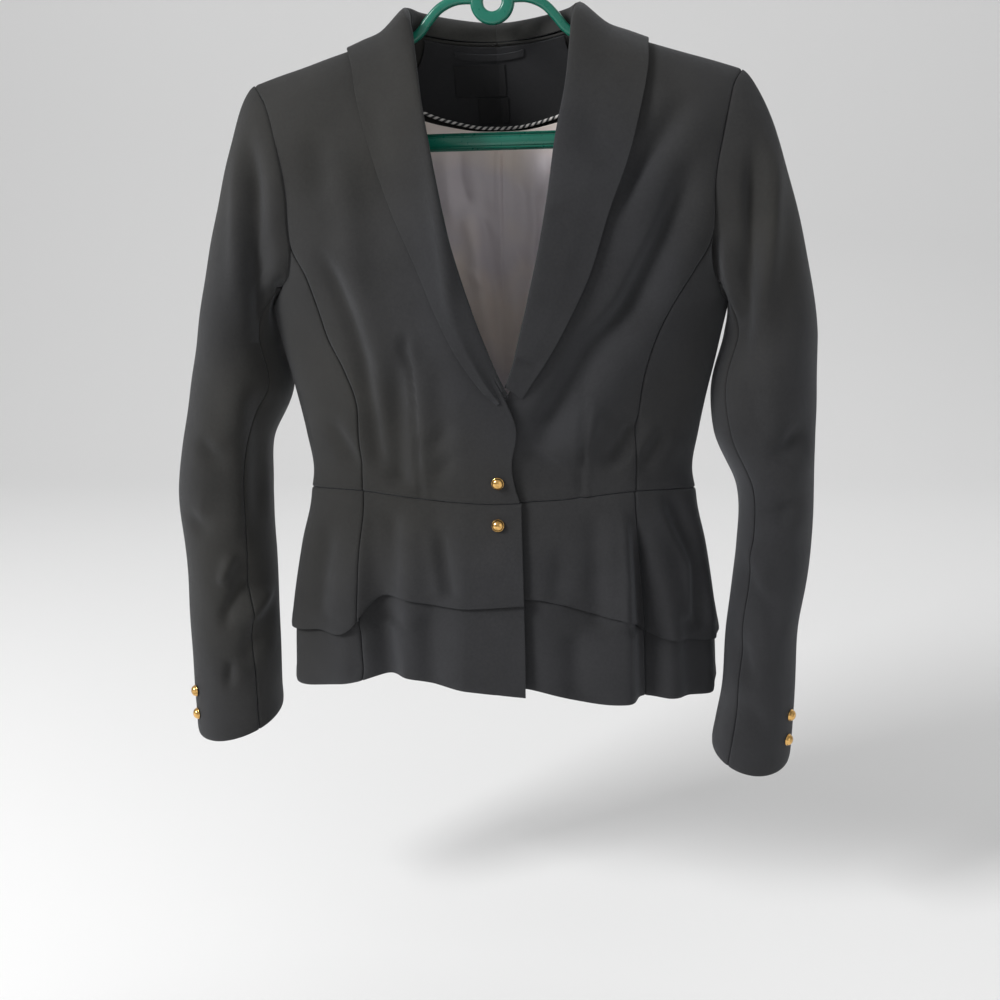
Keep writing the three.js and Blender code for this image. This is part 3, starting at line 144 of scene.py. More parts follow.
SLEEVE = {
    "right": table(
        "z outer inner front back",
        (-310, 259, 205, -50, 56), (-390, 274, 200, -57, 58), (-430, 283, 191, -58, 56),
        (-483, 293, 212, -57, 50), (-520, 299, 214, -56, 45), (-575, 296, 213, -57, 37),
        (-640, 294, 212, -57, 29), (-700, 294, 211, -56, 22), (-742, 293, 211, -55, 19),
    ),
    "left": table(
        "z outer inner front back",
        (-310, 272, 205, -50, 56), (-390, 279, 199, -57, 58), (-440, 280, 188, -58, 56),
        (-473, 279, 191, -57, 52), (-521, 279, 212, -56, 45), (-575, 277, 212, -57, 37),
        (-645, 268, 204, -57, 29), (-715, 266, 201, -56, 22), (-762, 262, 193, -55, 19),
    ),
}
Cuff = namedtuple("Cuff", "z slant dip")
CUFF = {"right": Cuff(-742, 8, 14), "left": Cuff(-762, 3, 14)}
CUFF_DIP_FROM = 130
CAP_START = 0.1
CAP_END = 0.36
CAP_SHARE = 0.4
CAP_RISE = 80
CAP_LEAN_FRONT = -0.35
CAP_LEAN_UP = -0.3
UPPER_ARM_Z = -390
ELBOW_FROM = -400
ELBOW_TO = -520
SLEEVE_RAILS = 20
SIDE_RAILS = 4
FRONT_SEAM_RAIL = 8
BACK_SEAM_RAIL = 17
CUFF_FRONT_SEAM = 130
CUFF_BACK_SEAM = -8

COLLAR_COLUMNS = "at edgeX edgeZ stand lean roll lift"
COLLAR_TURN = 4
COLLAR = {
    "right": table(
        COLLAR_COLUMNS,
        (0, 0, -167, 21, 57, 4, 3.4), (0.36, 40, -165, 21, 57, 4, 3.4), (0.68, 80, -159, 20, 58, 4, 3.4),
        (0.9, 108, -150, 19, 60, 4, 3.4), (14, 124.5, -141, 17, 62, 4, 3.4), (13, 122, -149, 15, 54, 4, 3.6),
        (12, 118, -160, 11, 34, 4, 3.6), (11, 112, -189, 9, 22, 4, 3.6), (10, 100, -228, 8, 18, 4, 3.4),
        (9, 79, -280, 7.5, 18, 4, 3.2), (8, 57.5, -326, 7, 18, 4, 3), (7, 40, -367, 6.5, 20, 3.6, 3.4),
        (6, 24.5, -398, 6, 22, 3.2, 3.4), (5, 5, -427, 5, 24, 2.8, 3.3), (4.3, -8, -440.5, 4, 26, 2.4, 3.2),
    ),
    "left": table(
        COLLAR_COLUMNS,
        (0, 0, -167, 21, 57, 4, 3.4), (0.36, 40, -165, 20, 57, 4, 3.4), (0.68, 82, -159, 19, 58, 4, 3.4),
        (0.9, 112, -151, 18, 60, 4, 3.6), (14, 130, -142.6, 16, 62, 4, 4), (13, 132, -152, 14, 52, 4, 4.6),
        (12, 132, -169, 10, 32, 4, 5), (11, 127.5, -197, 8, 22, 4, 5.6), (10, 117, -242, 7, 18, 4, 6),
        (9, 101, -286, 6.5, 18, 4, 6), (8, 86, -333, 6.5, 18, 4, 5.6), (7, 71, -366, 6.5, 18, 3.6, 5),
        (6, 55, -396, 6, 18, 2.6, 4.6), (5, 38, -422, 6.8, 21, 2, 3.4), (4.45, 28.5, -436, 6.4, 21, 1.6, 3.4),
    ),
}
STAND_BEND = 24
STAND_SHARE = 0.55
CREST_TURN = 75
FALL_SHARES = (0.4, 0.72, 1.0)
COLLAR_SEAT = 0.8

FLARE = table(
    "drop half front back",
    (0, 0, 0, 0), (15, 2, 2, 2), (50, 11, 9, 10), (90, 19, 15, 18), (130, 25, 20, 26), (180, 28, 25, 32),
)
FLUTE_DROP = 130
FLUTE_GROWTH = 1.2
# Past this share of the drop the seams of the peplum stop moving round.
FALL_LIMIT = 1.2
OPENING_LIFT_FULL = 6.5
OPENING_LIFT_NONE = 18
Flute = namedtuple("Flute", "waist hem fore aft height")
BACK_FLUTES = (
    Flute(112, 110, 13, 12, 8), Flute(131, 131, 11, 10, -8), Flute(151, 152, 12, 11, 9), Flute(170, 171, 10, 9, -6),
)
FLUTES = {
    "right": (
        Flute(13, 13, 7, 6, -3), Flute(24, 22, 7, 5, 4), Flute(37, 31, 7, 6, -15), Flute(43, 39, 5, 14, 6),
        Flute(70, 68, 14, 16, 5), *BACK_FLUTES,
    ),
    "left": (
        Flute(15, 15, 10, 9, 4), Flute(38, 35.5, 15, 5, 11), Flute(42.5, 42, 5, 8, -13), Flute(52, 51, 6, 7, 5),
        Flute(58, 61, 8, 14, -6), Flute(88, 88, 16, 18, -5), *BACK_FLUTES,
    ),
}
HEM = {
    ("upper", "right"): table(
        "angle z", (-9, -615), (12, -618), (26, -613), (33.5, -618), (38, -637), (57, -650), (90, -653), (135, -656),
        (180, -658),
    ),
    ("upper", "left"): table(
        "angle z", (-9, -614), (15, -613), (28, -626), (36, -631), (43, -645), (58, -655), (90, -662), (180, -658),
    ),
    ("lower", "right"): table(
        "angle z", (-9, -696), (11, -690), (30, -684), (45, -697), (60, -705), (90, -704), (180, -703),
    ),
    ("lower", "left"): table(
        "angle z", (-9, -688), (9, -691), (24, -703), (45, -705), (75, -711), (90, -709), (180, -703),
    ),
}
OPENING_ANGLE = {"right": -8.3, "left": -4.6}
PeplumSeam = namedtuple("PeplumSeam", "waist hem")
PEPLUM_SEAM = {"right": PeplumSeam(42.3, 37.6), "left": PeplumSeam(44.5, 43)}
BACK_SEAM_ANGLE = 102
Tier = namedtuple("Tier", "name layer spread calm")
TIERS = (Tier("upper", 0, 0, 1), Tier("lower", 2.2, 3, 0.55))
CALM_FROM = 104
CALM_TO = 170

PIPING_ROUND = 1.5
PIPING_LINE = table("x z", (0, -205), (20, -204), (40, -200), (58, -195), (84, -184))
FACING_TOP_X = 62
FACING_LOW_X = 84
LINING_TOP_Z = -212
LINING_LOW_Z = -496
LINING_EDGE = table("z angle", (-212, 48), (-280, 55), (-340, 60), (-420, 62), (-496, 62))
LINING_GAP = 2
LINING_SLACK = 2.2
LINING_CORNER_DROP = 14
FACING_TOP_GAP = 2
LABEL_GAP = 0.35
PIPING_STRIPE = 0.0056
LoopSize = namedtuple("LoopSize", "x0 x1 z width sag")
LOOP = LoopSize(-37, 25, -138.5, 5, 3.5)
Label = namedtuple("Label", "name x0 x1 top low")
LABELS = (Label("neck_label", -39, 7, -150, -176), Label("size_label", -20, 8.5, -177.5, -199))

BUTTON_ROUND = 5.5
BUTTON_RIM = 1.2
BUTTON_DOME = 3.6
BUTTON_SEAT = 0.9
WAIST_BUTTONS = (("waist_button_upper", 5.8, -510), ("waist_button_lower", 5.6, -547))
CUFF_BUTTONS = {"right": (-702, -722), "left": (-716, -737)}
CUFF_BUTTON_RAIL = 20.5
CUFF_BUTTON_SEAT = 0.4

HANGER_BAND = 8
HANGER_DEPTH = 8
HOOK_ROUND = 24
HOOK_DROP = -20
RING_X = 0.7
RING_Z = -105.5
RING_OUTER = 19
RING_INNER = 8
BAR_Z = -220.5
BAR_HALF = 180
BAR_HEIGHT = 15
ARM_CLEAR = 4.6
ARM_INNER = ((14, -103), (31, -103.5), (45, -109.5), (55, -119.5), (63, -129), (71, -134.2))
ARM_STOPS = (80, 110, 150, 176)
ARM_END = ((192, -173), (200, -182), (201, -195), (195, -208), (183, -216.5), (170, -219.5))
HOOK_TURN = (205, -30)
SHANK = ((12, -47), (2.5, -60), (0.4, -74), (RING_X, -90))

# Colours, as shares of red, green and blue.
SUITING_COLOR = (0.0200, 0.0202, 0.0222)
SUITING_WARM = (0.0205, 0.0198, 0.0180)
FACING_COLOR = (0.012, 0.012, 0.0135)
LINING_WARM = (0.95, 0.83, 0.77)
LINING_COOL = (0.80, 0.73, 0.77)
LABEL_COLOR = (0.008, 0.008, 0.009)
BUTTON_COLOR = (0.83, 0.50, 0.17)
HANGER_COLOR = (0.003, 0.130, 0.086)
STRIPE_DARK = (0.012, 0.012, 0.014)
STRIPE_LIGHT = (0.66, 0.64, 0.62)

# Camera: the point it looks at, how far off it stands, and its turn, height and roll in degrees.
TARGET = (1.5, -20, -534)
DISTANCE = 1150
AZIMUTH = 7
ELEVATION = 11
ROLL = 1.1
LENS = 46.0
LIGHT_AIM = (0, 0, -0.4)
REAR_SHARE = 1.5
FLOOR_Z = -960
BACKDROP_Y = 4200
BACKDROP_BEND = 1800
BACKDROP_FRONT = -5000
BACKDROP_TOP = 6000
BACKDROP_HALF = 8000

# Creases pressed into the cloth, listed one by one: a line of x and z, half width, height (a trough is negative)
# and how far along the line, as a share, each end fades.
Crease = namedtuple("Crease", "line width height fade_in fade_out")
FRONT_CREASES = (
    Crease(((-67, -384), (-65, -412), (-63, -440), (-63, -471), (-64, -528)), 2.2, -1.7, 0.3, 0.02),
    Crease(((-78, -392), (-80, -430), (-82, -470), (-84, -520)), 11, -4.2, 0.4, 0.08),
    Crease(((-54, -388), (-53, -440), (-54, -505)), 7, 1.5, 0.4, 0.2),
    Crease(((-68, -376), (-71, -395), (-68, -412)), 4, -2.2, 0.4, 0.4),
    Crease(((-150, -300), (-132, -335), (-119, -367), (-109, -404), (-104, -453), (-101, -511)),
           8, -3.6, 0.25, 0.1),
    Crease(((-126, -222), (-119, -270), (-113, -319), (-97, -377)), 13, 2.2, 0.4, 0.3),
    Crease(((-152, -200), (-146, -240), (-142, -282)), 13, -2.6, 0.4, 0.4),
    Crease(((-30, -452), (-45, -472), (-58, -486)), 7, -1.8, 0.4, 0.4),
    Crease(((-28, -480), (-40, -496), (-52, -512)), 6, -1.2, 0.4, 0.3),
    Crease(((-150, -452), (-134, -478), (-118, -508)), 8, -2.4, 0.4, 0.3),
    Crease(((80, -412), (81, -437), (79, -473), (76, -511), (75, -528)), 2.2, -1.6, 0.3, 0.02),
    Crease(((178, -222), (160, -270), (144, -306), (117, -360), (86, -399), (68, -430), (48, -462), (26, -495)),
           12.5, -6.4, 0.2, 0.2),
    Crease(((160, -250), (134, -306), (108, -356), (80, -392)), 8, 2.4, 0.3, 0.3),
    Crease(((172, -180), (152, -210), (133, -236), (120, -256), (104, -296)), 10, -4.2, 0.3, 0.3),
    Crease(((92, -436), (84, -462), (74, -490)), 9, 1.8, 0.3, 0.3),
    Crease(((130, -452), (114, -477), (94, -503)), 8, -4.0, 0.3, 0.3),
    Crease(((150, -462), (138, -482), (124, -506)), 7, -2.8, 0.4, 0.3),
    Crease(((20, -480), (44, -489), (66, -504)), 5, -1.6, 0.4, 0.4),
)
BACK_CREASES = (
    Crease(((-150, -200), (-120, -270), (-96, -350)), 16, -2.4, 0.4, 0.4),
    Crease(((146, -205), (118, -280), (92, -352)), 15, -2.2, 0.4, 0.4),
    Crease(((-30, -190), (0, -205), (34, -188)), 12, -1.4, 0.5, 0.5),
    Crease(((-70, -420), (-20, -446), (20, -440), (66, -424)), 9, -1.5, 0.4, 0.4),
    Crease(((-60, -480), (-10, -496), (50, -484)), 7, -1.2, 0.4, 0.4),
    Crease(((130, -430), (112, -468), (98, -506)), 9, -1.8, 0.4, 0.3),
    Crease(((-134, -436), (-114, -470), (-100, -504)), 9, -1.6, 0.4, 0.3),
)
SLEEVE_CREASES = (
    Crease(((-216, -196), (-206, -247), (-203, -291), (-202, -331), (-201, -383), (-198, -438)),
           9, -5.6, 0.25, 0.35),
    Crease(((-226, -210), (-221, -267), (-221, -315), (-224, -372)), 8, 2.4, 0.3, 0.4),
    Crease(((-184, -326), (-189, -360), (-195, -396)), 5, -3.6, 0.3, 0.4),
    Crease(((-224, -408), (-229, -474), (-233, -528), (-238, -572)), 12, 2.4, 0.2, 0.2),
    Crease(((-206, -420), (-211, -500), (-214, -560)), 11, -3.2, 0.2, 0.3),
    Crease(((-266, -468), (-252, -488), (-234, -498)), 8, -2.6, 0.4, 0.5),
    Crease(((-286, -540), (-268, -552), (-250, -552)), 8, -2.0, 0.4, 0.5),
    Crease(((-238, -576), (-245, -593), (-250, -609)), 5.5, 3.2, 0.3, 0.3),
    Crease(((-210, -612), (-220, -628), (-233, -646)), 6.5, 3.4, 0.3, 0.3),
    Crease(((-222, -596), (-234, -612), (-246, -632), (-251, -652)), 6.5, -3.2, 0.3, 0.3),
    Crease(((-216, -648), (-228, -664), (-234, -690)), 8, -2.4, 0.4, 0.4),
    Crease(((-245, -674), (-248, -691), (-251, -708)), 5, -2.4, 0.4, 0.4),
    Crease(((222, -206), (220, -261), (219, -303), (215, -345), (213, -382), (209, -441)), 8, -5.2, 0.25, 0.35),
    Crease(((237, -226), (234, -290), (230, -345), (226, -402)), 7.5, 2.6, 0.3, 0.4),
    Crease(((187, -296), (187, -326), (187, -352), (184, -392)), 6, -4.2, 0.2, 0.3),
    Crease(((214, -410), (222, -450), (232, -480)), 9, -2.6, 0.4, 0.4),
    Crease(((270, -458), (252, -482), (226, -490)), 9, -3.2, 0.4, 0.5),
    Crease(((266, -520), (246, -538), (226, -538)), 8, -2.8, 0.4, 0.5),
    Crease(((218, -560), (232, -590), (240, -622)), 7, 2.6, 0.4, 0.4),
    Crease(((222, -596), (240, -624), (246, -664)), 9, -2.8, 0.4, 0.5),
    Crease(((210, -640), (220, -672), (226, -700)), 8, -2.2, 0.4, 0.4),
    Crease(((216, -704), (232, -724), (241, -746)), 8, -1.8, 0.4, 0.5),
)
SLEEVE_BACK_CREASES = (
    Crease(((-214, -360), (-232, -400), (-240, -450)), 10, -3.2, 0.4, 0.4),
    Crease(((-226, -478), (-250, -486), (-276, -476)), 8, -3.0, 0.4, 0.4),
    Crease(((-222, -516), (-246, -528), (-272, -520)), 8, -3.0, 0.4, 0.4),
    Crease(((-228, -556), (-250, -574), (-262, -606)), 9, -2.4, 0.4, 0.4),
    Crease(((212, -356), (230, -404), (238, -452)), 10, -3.2, 0.4, 0.4),
    Crease(((218, -470), (240, -480), (264, -468)), 8, -3.0, 0.4, 0.4),
    Crease(((214, -512), (238, -522), (262, -512)), 8, -2.8, 0.4, 0.4),
    Crease(((222, -560), (238, -590), (244, -626)), 9, -2.4, 0.4, 0.4),
)
COLLAR_CREASES = (
    Crease(((-62, -170), (-50, -205), (-44, -240), (-38, -279), (-31, -324), (-28, -353), (-24, -383)),
           6, 2.2, 0.3, 0.3),
    Crease(((48, -282), (62, -286), (76, -284)), 4, -1.0, 0.4, 0.5),
    Crease(((24, -402), (34, -406), (47, -409)), 3, -1.4, 0.3, 0.4),
    Crease(((60, -180), (88, -214), (96, -250)), 13, -1.6, 0.5, 0.5),
    Crease(((-104, -176), (-96, -214), (-84, -252)), 12, -1.4, 0.5, 0.5),
)
# Line along which the right collar half turns back towards the neck opening, and how fast it falls away.
ROLL_LINE = ((-66, -150), (-52, -195), (-44, -233), (-38, -279), (-29, -324), (-26, -353), (-22, -383), (-18, -410))
ROLL_FALL = 0.42
ROLL_DEEPEST = 7.0
ROLL_ROWS = (0.36, 0.5)
COLLAR_END = (0.93, 1.0)
COLLAR_END_DROP = 2.6
LINING_CREASES = (
    Crease(((-2, -205), (-3, -240), (-2, -300), (-1, -380)), 1.8, -3.4, 0.02, 0.8),
    Crease(((8, -206), (10, -270), (6, -350)), 6, 2.2, 0.1, 0.6),
    Crease(((-39, -218), (-40, -244), (-35, -262), (-28, -276)), 5, 4.2, 0.2, 0.3),
    Crease(((-53, -216), (-50, -262), (-44, -304)), 8, -4.0, 0.2, 0.4),
    Crease(((-36, -266), (-27, -312), (-17, -372), (-8, -436)), 7, -4.4, 0.2, 0.3),
    Crease(((-20, -240), (-14, -306), (-6, -372), (0, -430)), 7, 3.6, 0.3, 0.3),
    Crease(((24, -226), (30, -292), (22, -360), (14, -420)), 6, 3.4, 0.2, 0.4),
    Crease(((42, -222), (44, -280), (38, -336)), 7, -3.4, 0.2, 0.4),
    Crease(((4, -300), (18, -326), (30, -340)), 4, -2.2, 0.4, 0.4),
    Crease(((-40, -322), (-24, -342), (-8, -350)), 4, -2.4, 0.4, 0.4),
    Crease(((-26, -276), (-12, -288), (-4, -310)), 4, -2.0, 0.4, 0.4),
    Crease(((8, -252), (24, -264), (42, -258)), 4, -2.0, 0.4, 0.4),
    Crease(((-2, -396), (12, -404), (28, -398)), 5, -2.4, 0.4, 0.4),
)
PEPLUM_CREASES = (
    Crease(((-90, -527), (-91, -573), (-92, -640)), 9, -3.2, 0.3, 0.02),
    Crease(((-48, -545), (-43, -577), (-36, -612)), 6, -2.0, 0.4, 0.1),
    Crease(((-57, -545), (-53, -575), (-48, -612)), 6, 1.2, 0.4, 0.1),
    Crease(((-124, -640), (-126, -690)), 8, -2.0, 0.2, 0.1),
    Crease(((-60, -622), (-58, -690)), 10, -1.6, 0.2, 0.1),
    Crease(((-150, -545), (-158, -590), (-164, -640)), 9, -2.2, 0.4, 0.1),
    Crease(((60, -556), (58, -590), (55, -616)), 9, -2.2, 0.5, 0.1),
    Crease(((88, -530), (90, -570), (92, -640)), 10, -2.6, 0.4, 0.02),
    Crease(((70, -640), (72, -700)), 9, -1.8, 0.2, 0.1),
    Crease(((113, -530), (115, -563), (117, -597), (117, -636)), 4.5, 2.2, 0.4, 0.02),
    Crease(((124, -535), (125, -571), (126, -606), (126, -645)), 5.5, -3.0, 0.4, 0.02),
    Crease(((137, -519), (151, -554), (167, -588), (168, -640)), 5.5, 2.0, 0.3, 0.05),
    Crease(((147, -519), (162, -554), (178, -592), (180, -650)), 6.5, -2.6, 0.3, 0.05),
)

# Waves that keep the cloth from lying dead flat: length in mm along x and z, and shift.
RIPPLES = ((173, 241, 0.4), (-131, 157, 1.9), (89, -203, 2.7), (-67, 113, 4.1), (53, 79, 5.3))


def lerp(a, b, t):
    return a + (b - a) * t


def smooth(start, end, value):
    """Rises from 0 at start to 1 at end, flat at both: 3t squared less 2t cubed."""
    t = np.clip((value - start) / (end - start), 0, 1)
    return t * t * (3 - 2 * t)


def track(rows, key, column):
    """Smooth curve through one column of a table: cubic pieces with weighted mean slopes."""
    ordered = sorted(rows, key=lambda row: row[key])
    knots = np.array([row[key] for row in ordered], float)
    values = np.array([row[column] for row in ordered], float)
    spans = np.diff(knots)
    rises = np.diff(values) / spans
    slopes = np.empty_like(values)
    slopes[0] = rises[0]
    slopes[-1] = rises[-1]
    slopes[1:-1] = (rises[:-1] * spans[1:] + rises[1:] * spans[:-1]) / (spans[1:] + spans[:-1])

    def curve(at):
        t = np.clip(at, knots[0], knots[-1])
        i = np.clip(np.searchsorted(knots, t, side="right") - 1, 0, len(spans) - 1)
        s = (t - knots[i]) / spans[i]
        return ((2 * s**3 - 3 * s**2 + 1) * values[i] + (s**3 - 2 * s**2 + s) * spans[i] * slopes[i]
                + (3 * s**2 - 2 * s**3) * values[i + 1] + (s**3 - s**2) * spans[i] * slopes[i + 1])

    return curve


def unit(vectors):
    return vectors / np.maximum(np.linalg.norm(vectors, axis=-1, keepdims=True), 1e-9)


def dot(a, b):
    return np.sum(a * b, axis=-1)


body_half = track(BODY, "z", "half")
body_depth = {FRONT: track(BODY, "z", "front"), BACK: track(BODY, "z", "back")}
waist_z = track(WAIST, "angle", "z")
piping_z = track(PIPING_LINE, "x", "z")


def shoulder_z(x):
    return NECK_Z - (np.abs(x) - NECK_X) * math.tan(SHOULDER_SLOPE)


def ridge_share(x, z, face):
    """Share of the full depth reached below the shoulder ridge: a quarter circle and a quarter sine."""
    below = np.maximum(shoulder_z(x) - z, 0)
    if face == BACK:
        swell = BACK_SWELL
    else:
        swell = lerp(FRONT_SWELL_CENTRE, FRONT_SWELL_ARMHOLE, smooth(80, 200, np.abs(x)))
    turn = np.clip(below / RIDGE_ROUND, 0, 1)
    full = np.clip(below / swell, 0, 1)
    return RIDGE_SHARE * np.sqrt(1 - (1 - turn) ** 2) + (1 - RIDGE_SHARE) * np.sin(full * math.pi / 2)


def body_point(angle, z, face):
    """Point of the body's skin: an oval in plan at each height, thinner towards the shoulder ridge."""
    x = body_half(z) * np.sin(angle)
    y = face * body_depth[face](z) * np.cos(angle) * ridge_share(x, z, face)
    return np.stack(np.broadcast_arrays(x, y, z), axis=-1)


def angle_of(x, z):
    return np.arcsin(np.clip(x / body_half(z), -1, 1))


def spot(x, z):
    """Angle and height of a point given by own x and height."""
    x, z = np.broadcast_arrays(x, z)
    return np.stack([angle_of(x, z), z], axis=-1)


def mirrored(points, sx):
    return points * np.array([sx, 1, 1])


def patch(inner, outer, low, top):
    """Surface between four edges of spots: straight across, plus what the low and top edges add."""
    def surface(u, v):
        u3 = u[..., None]
        v3 = v[..., None]
        zero = np.zeros_like(v)
        across = lerp(inner(v), outer(v), u3)
        low_line = lerp(inner(zero), outer(zero), u3)
        top_line = lerp(inner(zero + 1), outer(zero + 1), u3)
        return across + (1 - v3) * (low(u) - low_line) + v3 * (top(u) - top_line)

    return surface


def row_edge(rows, column, first, last):
    """Edge that follows a table of rows, from one row to another."""
    x = track(rows, "row", column)
    z = track(rows, "row", "z")

    def edge(t):
        row = lerp(first, last, t)
        return spot(x(row), z(row))

    return edge


def waist_edge(start, end, face):
    def edge(u):
        angle = lerp(start, end, u)
        degrees = np.degrees(angle)
        return np.stack([angle, waist_z(np.abs(180 - degrees if face == BACK else degrees))], axis=-1)

    return edge


def armhole_edge(corner):
    """Lower quarter of the armhole: a quarter of an oval from a seam's top to the underarm."""
    angle0, z0 = corner

    def edge(t):
        angle = lerp(math.pi / 2, angle0, np.cos(t * math.pi / 2))
        return np.stack([angle, lerp(z0, UNDERARM_Z, np.sin(t * math.pi / 2))], axis=-1)

    return edge


def side_seam(t):
    return np.stack([np.full_like(t, math.pi / 2), lerp(waist_z(90), UNDERARM_Z, t)], axis=-1)


def shoulder_edge(u):
    x = lerp(NECK_X, SHOULDER_X, u)
    return spot(x, shoulder_z(x))


def neck_seam(t):
    """Back neck seam: a parabola from the centre back to the neck point."""
    x = NECK_X * t
    return spot(x, np.minimum(lerp(BACK_NECK_Z, NECK_Z, t * t), shoulder_z(x)))


def front_lift(side, own_x):
    """How far the right front stands out over the left one."""
    if side == "left":
        return 0 * own_x
    return OVERLAP_LIFT * (1 - smooth(OVERLAP_FULL, OVERLAP_NONE, own_x))


def front_surface(side):
    """Front panel: a patch between front edge, princess seam with armhole, waist and shoulder."""
    inner = row_edge(FRONT_INNER[side], "x", 0, BODY_ROWS)
    outer = row_edge(FRONT_OUTER, side, 0, BODY_ROWS)
    low = waist_edge(inner(0.0)[0], outer(0.0)[0], FRONT)
    place = patch(inner, outer, low, shoulder_edge)

    def surface(u, v):
        spots = place(u, v)
        points = body_point(spots[..., 0], spots[..., 1], FRONT)
        points[..., 1] -= front_lift(side, points[..., 0])
        return mirrored(points, SIDES[side])

    return surface


def side_surface(side, face):
    """Side panel: a patch between princess seam, side seam, waist and the low armhole."""
    rows = FRONT_OUTER if face == FRONT else BACK_OUTER
    inner = row_edge(rows, side if face == FRONT else "x", 0, PRINCESS_ROWS)
    low = waist_edge(inner(0.0)[0], math.pi / 2, face)
    place = patch(inner, side_seam, low, armhole_edge(inner(1.0)))

    def surface(u, v):
        spots = place(u, v)
        return mirrored(body_point(spots[..., 0], spots[..., 1], face), SIDES[side])

    return surface


def back_surface(side):
    """Back panel: a patch between the centre back seam, princess seam with armhole, waist and top."""
    centre_z = track(BACK_CENTRE, "row", "z")

    def inner(v):
        return np.stack([0 * v, centre_z(v * BODY_ROWS)], axis=-1)

    def top(u):
        neck = neck_seam(np.minimum(u / NECK_SHARE, 1))
        shoulder = shoulder_edge(np.maximum((u - NECK_SHARE) / (1 - NECK_SHARE), 0))
        return np.where((u < NECK_SHARE)[..., None], neck, shoulder)

    outer = row_edge(BACK_OUTER, "x", 0, BODY_ROWS)
    place = patch(inner, outer, waist_edge(0, outer(0.0)[0], BACK), top)

    def surface(u, v):
        spots = place(u, v)
        return mirrored(body_point(spots[..., 0], spots[..., 1], BACK), SIDES[side])

    return surface


def armhole_loop(side):
    """Armhole as a closed loop of rails: down the front, under the arm and up the back."""
    front = row_edge(FRONT_OUTER, side, 0, BODY_ROWS)
    back = row_edge(BACK_OUTER, "x", 0, BODY_ROWS)
    split = PRINCESS_ROWS / BODY_ROWS
    upper = BODY_ROWS - PRINCESS_ROWS
    low_front = armhole_edge(front(split))
    low_back = armhole_edge(back(split))

    def loop(rail):
        stretches = (
            (front(np.clip(1 - rail / BODY_ROWS, split, 1)), FRONT),
            (low_front(np.clip((rail - upper) / SIDE_RAILS, 0, 1)), FRONT),
            (low_back(np.clip((upper + 2 * SIDE_RAILS - rail) / SIDE_RAILS, 0, 1)), BACK),
            (back(np.clip(1 - (SLEEVE_RAILS - rail) / BODY_ROWS, split, 1)), BACK),
        )
        points = [body_point(spots[..., 0], spots[..., 1], face) for spots, face in stretches]
        bounds = (upper, upper + SIDE_RAILS, upper + 2 * SIDE_RAILS)
        result = points[3]
        for limit, stretch in zip(reversed(bounds), reversed(points[:3])):
            result = np.where((rail <= limit)[..., None], stretch, result)
        return result

    return loop


def rail_angle(rail, z):
    """Angle round the sleeve: even at the upper arm, between the two seams at the cuff."""
    upper = 360 * rail / SLEEVE_RAILS
    top_span = SLEEVE_RAILS - BACK_SEAM_RAIL + FRONT_SEAM_RAIL
    from_back = (rail - BACK_SEAM_RAIL) % SLEEVE_RAILS
    lower = lerp(CUFF_BACK_SEAM, CUFF_FRONT_SEAM, from_back / top_span)
    lower = np.where(rail >= BACK_SEAM_RAIL, lower + 360, lower)
    share = (rail - FRONT_SEAM_RAIL) / (BACK_SEAM_RAIL - FRONT_SEAM_RAIL)
    under = lerp(CUFF_FRONT_SEAM, 360 + CUFF_BACK_SEAM, share)
    lower = np.where((rail > FRONT_SEAM_RAIL) & (rail < BACK_SEAM_RAIL), under, lower)
    return np.radians(lerp(upper, lower, smooth(ELBOW_FROM, ELBOW_TO, z)))


def arm_point(side, rail, z):
    """Skin of the sleeve below the cap: an oval at each height, its hem dipped at the front."""
    read = {column: track(SLEEVE[side], "z", column)(z) for column in ("outer", "inner", "front", "back")}
    angle = rail_angle(rail, z)
    cuff = CUFF[side]
    hem = 1 - smooth(0, CUFF_DIP_FROM, z - cuff.z)
    x = (read["outer"] + read["inner"]) / 2 + (read["outer"] - read["inner"]) / 2 * np.cos(angle)
    y = (read["front"] + read["back"]) / 2 - (read["back"] - read["front"]) / 2 * np.sin(angle)
    down = hem * (cuff.slant * np.cos(angle) + cuff.dip * np.sin(angle))
    return np.stack(np.broadcast_arrays(x, y, z - down), axis=-1)


def sleeve_surface(side, first, last):
    """Sleeve between two rails: a cubic from the armhole over the cap, then the arm down to the cuff."""
    loop = armhole_loop(side)
    cuff = CUFF[side]

    def surface(u, v):
        rail = lerp(first, last, u) % SLEEVE_RAILS
        arm_z = lerp(UPPER_ARM_Z, cuff.z, np.clip((v - CAP_SHARE) / (1 - CAP_SHARE), 0, 1))
        arm = arm_point(side, rail, arm_z)
        t = np.clip(v / CAP_SHARE, 0, 1)[..., None]
        start = loop(rail)
        end = arm_point(side, rail, UPPER_ARM_Z + 0 * v)
        reach = np.linalg.norm(end - start, axis=-1)
        angle = rail_angle(rail, UPPER_ARM_Z + 0 * v)
        lean_up = CAP_LEAN_UP * np.maximum(np.cos(angle), 0)
        out = unit(np.stack([1 + 0 * angle, CAP_LEAN_FRONT * np.sin(angle), lean_up], axis=-1))
        leave = start + out * (reach * CAP_START)[..., None]
        start = start + out * SEAM
        rise = np.minimum(reach * CAP_END, CAP_RISE)
        arrive = arm_point(side, rail, UPPER_ARM_Z + rise)
        cap = ((1 - t) ** 3 * start + 3 * (1 - t) ** 2 * t * leave + 3 * (1 - t) * t**2 * arrive + t**3 * end)
        return mirrored(np.where((v > CAP_SHARE)[..., None], arm, cap), SIDES[side])

    return surface


